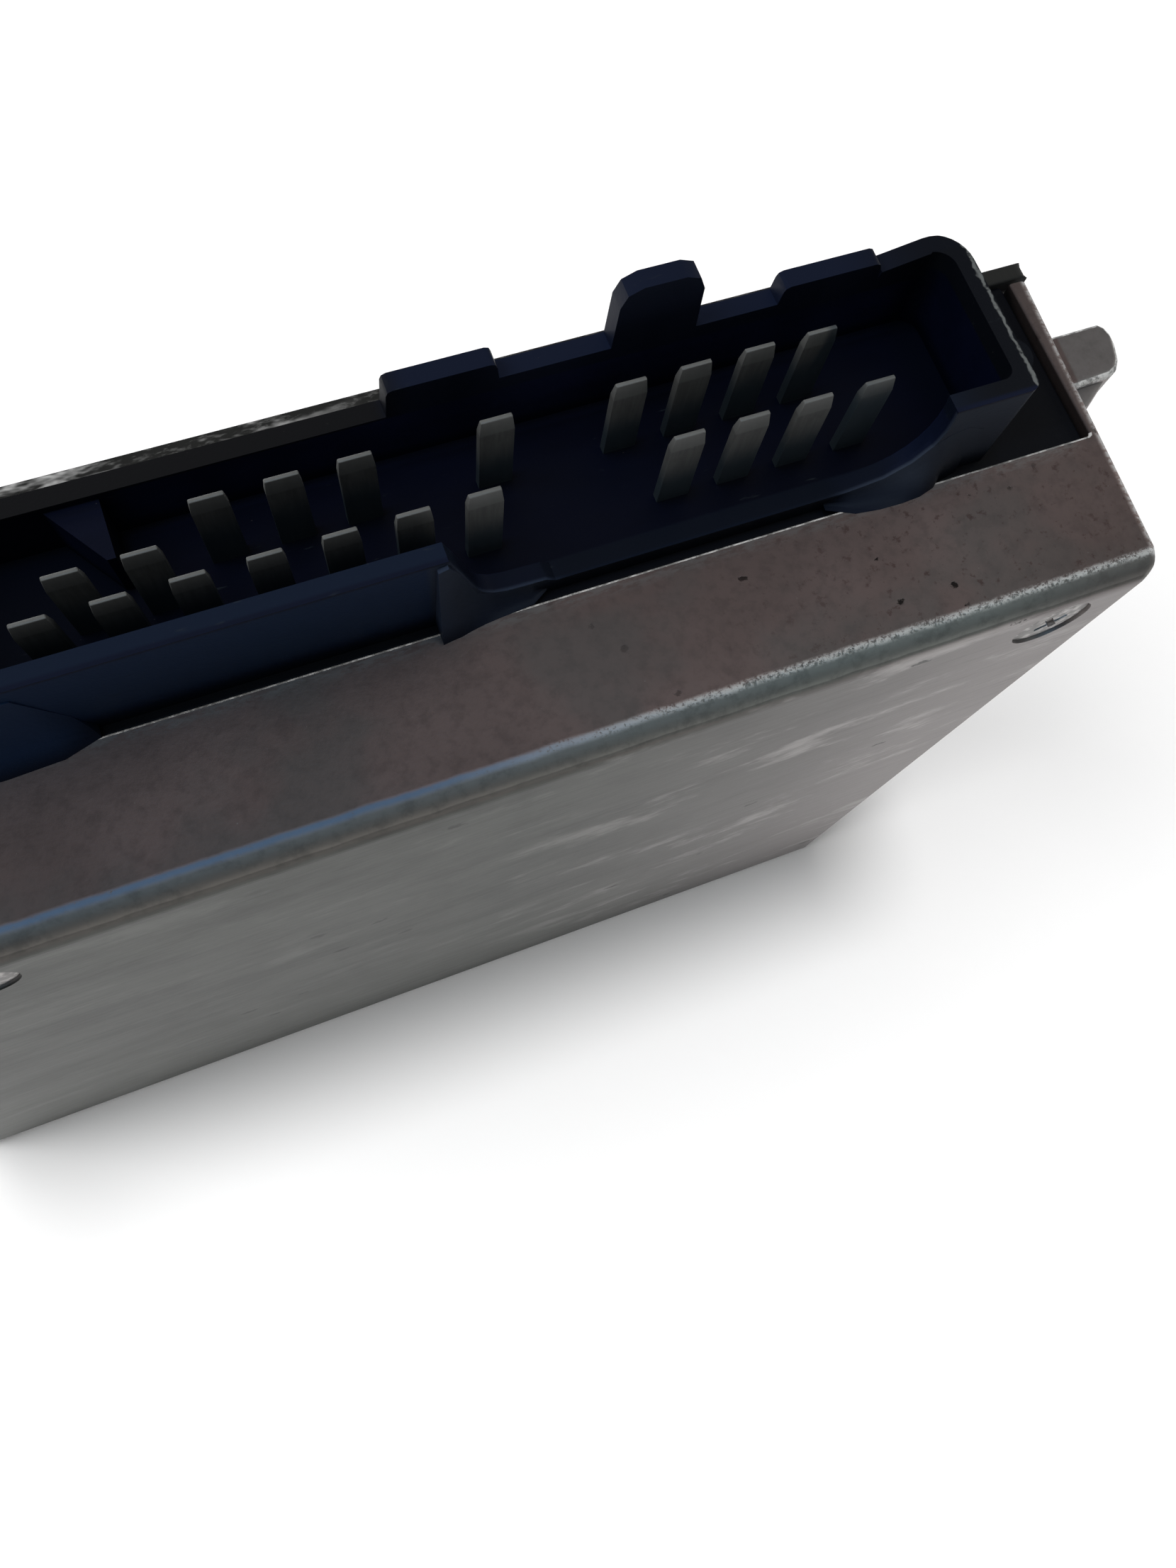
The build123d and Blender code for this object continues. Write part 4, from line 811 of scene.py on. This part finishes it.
def header_socket(s):
    """Walled socket: hollow, with the near wall cut low, the far wall cut to its tabs and the ends cut at the rim."""
    rim, out, over = DEPTH + s.rim, s.half + 1, HEADER_TOP + 2
    x, near, far = s.half - s.wall, NEAR_Y + s.wall, FAR_Y - s.wall
    ends = bmesh.new()
    block(ends, -out, out, near - 0.2, far - 0.01, rim, over)
    low_cut = [(-out, rim), *near_wall(s), (out, rim), (out, over), (-out, over)]
    bm = prism(rounded_outline(-s.half, s.half, NEAR_Y, FAR_Y, 0.9, 3.0, 8), "Z", STEPPED - 1, HEADER_TOP)
    for tool in (prism(rounded_outline(-x, x, near, far, 0.9, 1.6, 8), "Z", FLOOR_Z, over),
                 prism(low_cut, "Y", NEAR_Y - 1, near + 0.01), ends,
                 prism(far_wall_cut(s), "Y", far - 0.02, FAR_Y + 1)):
        bm = carve(bm, tool)
    return round_edges(bm, lambda e: sharp(e, 40) and middle(e).z > FLOOR_Z + 0.3, 0.26, 3)


def make_header():
    s = header_settings()
    bm = carve(header_flange(), header_socket(s), "UNION")
    for add in (header_key(s), end_rib(s), *wall_feet(s)):
        bm = carve(bm, add, "UNION")
    piece("socket_moulding", bm, [moulded_plastic()], "header")


def flare(upper, lower):
    """Foot of a wall: a hollow-curved skin from an upper line on the wall down to a lower line, closed behind."""
    sag, rows, root = 0.35, 6, NEAR_Y + 0.6
    bm = bmesh.new()
    grid = []
    for top, foot in zip(upper, lower):
        top, foot = Vector(top), Vector(foot)
        line = []
        for k in range(rows + 1):
            t = k / rows
            point = top.lerp(foot, t)
            pull = sag * 4 * t * (1 - t)
            line.append(bm.verts.new((point.x, point.y + pull * 0.6, point.z - pull)))
        back = [bm.verts.new((foot.x, root, foot.z)), bm.verts.new((top.x, root, top.z))]
        grid.append(line + back)
    for a, b in zip(grid, grid[1:]):
        for k in range(len(a)):
            n = (k + 1) % len(a)
            bm.faces.new((a[k], b[k], b[n], a[n]))
    for end in (grid[0], grid[-1]):
        bm.faces.new(end)
    bmesh.ops.recalc_face_normals(bm, faces=bm.faces)
    return bm


def header_key(s):
    """Keying rib on the inside of the far wall."""
    wall, low, high = FAR_Y - s.wall, FLOOR_Z - 0.3, DEPTH + 5.6
    return prism([(-24.3, wall + 0.6), (-24.3, wall - 4.6), (-24.9, wall - 4.6), (-28.0, wall), (-28.0, wall + 0.6)],
                 "Z", low, high)


def end_rib(s):
    """Half-round rib on the outside of the socket's right end."""
    bm, radius = bmesh.new(), 1.6
    place = Matrix.Translation((s.half - radius / 2, 0.15, DEPTH + s.rim / 2 - 0.1))
    for v in bmesh.ops.create_cone(bm, cap_ends=True, segments=32, radius1=radius, radius2=radius, depth=s.rim - 0.3,
                                   matrix=place)["verts"]:
        v.co.x = max(v.co.x, s.half - s.wall + 0.3)
    return bm


def wall_feet(s):
    """Flared feet of the near wall over the case's edge: left and right of its low part, and at its left end."""
    rim, low_end, floor, z = DEPTH + s.rim, s.half - LOW_END, FLOOR_Z, DEPTH + 0.02
    near, face = NEAR_Y, NEAR_Y - 0.02
    left = flare([(-4.75, face - 0.35, rim - 0.6), (-4.0, face - 0.3, rim - 0.4), (-3.3, face, rim - 1.9),
                  (-2.6, face, rim - 4.2), (-1.9, face, rim - 6.0), (-0.6, face, floor + 0.85),
                  (0.9, face, floor + 0.7), (2.3, face, floor + 0.6), (3.7, face + 0.2, floor + 0.35)],
                 [(x, near - out, z) for x, out in ((-5.1, 1.9), (-4.4, 1.8), (-3.6, 1.7), (-2.8, 1.5), (-1.7, 1.3),
                                                    (-0.4, 1.15), (0.9, 1.05), (2.2, 0.9), (3.5, 0.1))])
    right = flare([(low_end + x, face, floor + up) for x, up in ((-1.8, -0.2), (0.6, 0.1), (3.0, 0.5), (5.0, 1.8),
                                                                 (6.0, 3.4), (7.2, 4.6), (8.6, 4.9), (10.2, 4.0))],
                  [(low_end + x, near - out, z - down)
                   for x, out, down in ((-1.8, 0.5, 0), (0.4, 1.5, 0), (2.4, 1.75, 0), (4.4, 1.8, 0), (6.0, 1.7, 0),
                                        (7.4, 1.3, 0), (8.3, 0.7, 0.7), (10.2, 0.3, 0.7))])
    end = flare([(2.0 - s.half, face - 0.2, rim - 0.6), (-36.0, face - 0.3, rim - 0.7), (-32.6, face - 0.1, rim - 1.4),
                 (-30.4, face, floor + 1.5)],
                [(x, near - out, z) for x, out in ((2.0 - s.half, 1.9), (-36.0, 2.0), (-32.0, 1.8), (-29.4, 1.0))])
    return left, right, end


def make_blade(name):
    """One contact: a stamped blade with a chamfered tip, and its leg down into the board."""
    low, high = node_box(name)
    x, y, foot = (low[0] + high[0]) / 2, high[1] - BLADE_HALF_T, DEPTH - 4
    y0, y1, bend = y - BLADE_HALF_T, y + BLADE_HALF_T, low[2] + 2 * BLADE_HALF_T
    bm = bmesh.new()
    verts = block(bm, x - BLADE_HALF, x + BLADE_HALF, y0, y1, foot, high[2])
    top = [v for v in verts if v.co.z > DEPTH]
    bmesh.ops.bisect_plane(bm, geom=bm.verts[:] + bm.edges[:] + bm.faces[:], plane_co=(0, 0, high[2] - TIP_TAPER),
                           plane_no=(0, 0, 1))
    for v in top:
        v.co.y = y + (v.co.y - y) * 0.4
        v.co.x = x + (v.co.x - x) * 0.87
    round_edges(bm, lambda e: sharp(e, 12) and middle(e).z > DEPTH - 3, 0.09, 2)
    block(bm, x - LEG_HALF, x + LEG_HALF, y0, y1, low[2], foot)
    block(bm, x - LEG_HALF, x + LEG_HALF, low[1], y0, low[2], bend)
    return bm


def make_contacts():
    finish = blade_plating()
    for name in BLADES:
        piece(name.replace("contact", "blade"), make_blade(name), [finish], name, smooth=40)


# -------------------- screws

def screw(x, z, y_seat, shank_r, head_r, head_h, length, point, dome):
    """Screw along Y with a domed head and a cross recess; point is the way of its shank."""
    bm = bmesh.new()
    outline = [(0.0, head_h), (head_r * 0.45, head_h - dome * 0.12), (head_r * 0.8, head_h - dome * 0.5),
               (head_r, head_h - dome), (head_r, 0.0), (shank_r, 0.0), (shank_r, -length), (0.0, -length)]
    verts = [bm.verts.new((r, 0, h)) for r, h in outline]
    edges = [bm.edges.new(pair) for pair in zip(verts, verts[1:])]
    bmesh.ops.spin(bm, geom=verts + edges, cent=(0, 0, 0), axis=(0, 0, 1), angle=2 * pi, steps=48, use_merge=True)
    cross = bmesh.new()
    arm, wide, taper = head_r * 0.58, head_r * 0.13, 0.55
    for degrees in (35, 125):
        place = Matrix.Rotation(radians(degrees), 4, "Z") @ Matrix.Translation((0, 0, head_h))
        box = bmesh.ops.create_cube(cross, size=1.0, matrix=place @ Matrix.Diagonal((2 * arm, 2 * wide, head_h, 1)))
        for v in box["verts"]:
            if v.co.z < head_h:
                v.co.x, v.co.y = v.co.x * taper, v.co.y * taper
    bm = boolean(bm, cross, "DIFFERENCE", crossing=True)
    stand = Matrix.Translation((x, y_seat, z)) @ Matrix.Rotation(radians(90 * point), 4, "X")
    bmesh.ops.transform(bm, matrix=stand, verts=bm.verts)
    return bm


def make_screws():
    finish = screw_steel()
    for word, side in (("left", -1), ("right", 1)):
        bm = screw(side * (right_side() - DIMPLE_FROM_SIDE), DIMPLE_Z, DIMPLE_SEAT, shank_r=1.7, head_r=3.22,
                   head_h=0.9, length=9.5, point=1, dome=0.2)
        piece(f"header_fixing_{word}", bm, [finish], f"header_screw_{word}")
    for name in LID_SCREWS:
        bm = screw(*seat_of(name), Y_RIM + SHEET, shank_r=1.45, head_r=2.7, head_h=1.75, length=10.5, point=-1,
                   dome=1.1)
        piece(name.replace("lid_screw", "cover_fixing"), bm, [finish], name)


def finish_inside():
    """Gives every kept node the finish of its slot."""
    finishes = inner_finishes()
    slots = {p["node"]: p["material_slot"] for p in frame["record"]["subparts"]}
    for name, node in frame["nodes"].items():
        if not node.hide_render:
            node.data.materials.clear()
            node.data.materials.append(finishes[slots[name]])


# -------------------- stage

def sun_light(name, way, power, spread):
    """Sun that shines along a direction, with its spread in degrees; it leaves no glint."""
    lamp = bpy.data.lights.new(name, "SUN")
    lamp.energy, lamp.angle = power, radians(spread)
    made = linked(name, lamp)
    made.rotation_euler = Vector(way).to_track_quat("-Z", "Y").to_euler()
    made.visible_glossy = False


def area_light(name, place, size, power, colour, diffuse=True):
    """Lit panel that faces the header; place and size in metres. Without diffuse it only leaves glints."""
    lamp = bpy.data.lights.new(name, "AREA")
    lamp.shape, lamp.size, lamp.size_y, lamp.energy, lamp.color = "RECTANGLE", size[0], size[1], power, colour
    made = linked(name, lamp)
    made.location = place
    made.rotation_euler = (Vector(LIGHT_TARGET) - Vector(place)).to_track_quat("-Z", "Y").to_euler()
    made.visible_diffuse = diffuse


def make_floor(colour):
    """Pale floor, six metres wide."""
    bm = bmesh.new()
    bmesh.ops.create_grid(bm, x_segments=1, y_segments=1, size=3.0)
    floor = mesh_object("floor", bm)
    f = Finish("pale_floor")
    floor.data.materials.append(f.done(f.mix(f.noise(300, 1), colour, shade(colour, 1.02)), 0.9))


def make_lights(key):
    """Suns for the floor and the faces, panels for the glints, and a dim even world."""
    world = bpy.data.worlds.new("studio")
    world.use_nodes = True
    background = world.node_tree.nodes["Background"]
    background.inputs["Color"].default_value = (1.0, 1.0, 1.0, 1.0)
    background.inputs["Strength"].default_value = 0.09
    bpy.context.scene.world = world
    sun_light("floor_light", (0.075, -0.1, -1.0), key, 12)
    sun_light("side_light", (0.9, -0.1, -1.0), key * 1.1, 34)
    sun_light("fill_light", (0.1, 0.8, -1.0), key * 0.09, 30)
    area_light("top_light", (0.25, 0.4, 1.3), (1.1, 1.1), 0.9, (1.0, 0.95, 0.93))
    area_light("crease_light_left", (-0.2, -0.5, 1.2), (1.0, 0.2), 2.3, (0.42, 0.72, 1.0), diffuse=False)
    area_light("crease_light_right", (0.75, -0.42, 1.0), (0.7, 0.14), 1.4, (0.92, 1.0, 0.98), diffuse=False)
    area_light("right_light", (1.1, 0.2, 0.35), (0.5, 0.5), 1.5, (1.0, 0.98, 0.96), diffuse=False)
    area_light("back_light", (-0.4, 1.1, 0.5), (0.8, 0.4), 2.0, (1.0, 1.0, 1.0))


def make_camera():
    """Camera where the photograph was taken from."""
    camera = bpy.data.cameras.new("camera")
    camera.sensor_fit, camera.sensor_width, camera.lens = "AUTO", SENSOR, SENSOR * PHOTO_FOCUS / PHOTO_HEIGHT
    camera.clip_start, camera.clip_end = 0.005, 20.0
    holder = linked("camera", camera)
    right, down = Vector(CAMERA_RIGHT), Vector(CAMERA_DOWN)
    turn = Matrix((right, -down, -right.cross(down))).transposed()
    holder.matrix_world = Matrix.Translation(Vector(CAMERA_PLACE) * MM) @ turn.to_4x4()
    bpy.context.scene.camera = holder


def make_stage():
    s = bpy.context.scene.ecu_stage
    make_floor(s.floor)
    make_lights(s.key)
    make_camera()
    bpy.context.scene.view_settings.view_transform = "Standard"


# -------------------- operators

class ECU_OT_case(bpy.types.Operator):
    """Cast case with its cut-out, dimples and lugs"""
    bl_idname, bl_label = "ecu.case", "Case"

    def execute(self, context):
        make_case()
        return {"FINISHED"}


class ECU_OT_cover(bpy.types.Operator):
    """Pressed cover with its raised field"""
    bl_idname, bl_label = "ecu.cover", "Cover"

    def execute(self, context):
        make_cover()
        return {"FINISHED"}


class ECU_OT_header(bpy.types.Operator):
    """Moulded plug header"""
    bl_idname, bl_label = "ecu.header", "Plug header"

    def execute(self, context):
        make_header()
        return {"FINISHED"}


class ECU_OT_contacts(bpy.types.Operator):
    """Blade contacts of the header"""
    bl_idname, bl_label = "ecu.contacts", "Contacts"

    def execute(self, context):
        make_contacts()
        return {"FINISHED"}


class ECU_OT_screws(bpy.types.Operator):
    """Screws of the header and the cover"""
    bl_idname, bl_label = "ecu.screws", "Screws"

    def execute(self, context):
        make_screws()
        return {"FINISHED"}


class ECU_OT_inside(bpy.types.Operator):
    """Finishes of the board and everything else inside"""
    bl_idname, bl_label = "ecu.inside", "Inside finishes"

    def execute(self, context):
        finish_inside()
        return {"FINISHED"}


class ECU_OT_stage(bpy.types.Operator):
    """Floor, lights and camera"""
    bl_idname, bl_label = "ecu.stage", "Stage"

    def execute(self, context):
        make_stage()
        return {"FINISHED"}


class ECU_PT_panel(bpy.types.Panel):
    """Lists the steps in the sidebar"""
    bl_label, bl_idname = "Control unit", "ECU_PT_panel"
    bl_space_type, bl_region_type, bl_category = "VIEW_3D", "UI", "Control unit"

    def draw(self, context):
        for settings in (context.scene.ecu_case, context.scene.ecu_header, context.scene.ecu_stage):
            for key in settings.bl_rna.properties.keys():
                if key not in ("rna_type", "name"):
                    self.layout.prop(settings, key)
        for step in STEPS:
            self.layout.operator(step.bl_idname)


STEPS = (ECU_OT_case, ECU_OT_cover, ECU_OT_header, ECU_OT_contacts, ECU_OT_screws, ECU_OT_inside, ECU_OT_stage)
CLASSES = (CaseSettings, HeaderSettings, StageSettings, *STEPS, ECU_PT_panel)


def register():
    for cls in CLASSES:
        bpy.utils.register_class(cls)
    bpy.types.Scene.ecu_case = bpy.props.PointerProperty(type=CaseSettings)
    bpy.types.Scene.ecu_header = bpy.props.PointerProperty(type=HeaderSettings)
    bpy.types.Scene.ecu_stage = bpy.props.PointerProperty(type=StageSettings)


def unregister():
    del bpy.types.Scene.ecu_stage, bpy.types.Scene.ecu_header, bpy.types.Scene.ecu_case
    for cls in reversed(CLASSES):
        bpy.utils.unregister_class(cls)


def main():
    register()
    for step in (bpy.ops.ecu.case, bpy.ops.ecu.cover, bpy.ops.ecu.header, bpy.ops.ecu.contacts, bpy.ops.ecu.screws,
                 bpy.ops.ecu.inside, bpy.ops.ecu.stage):
        step()


if __name__ == "__main__":
    main()
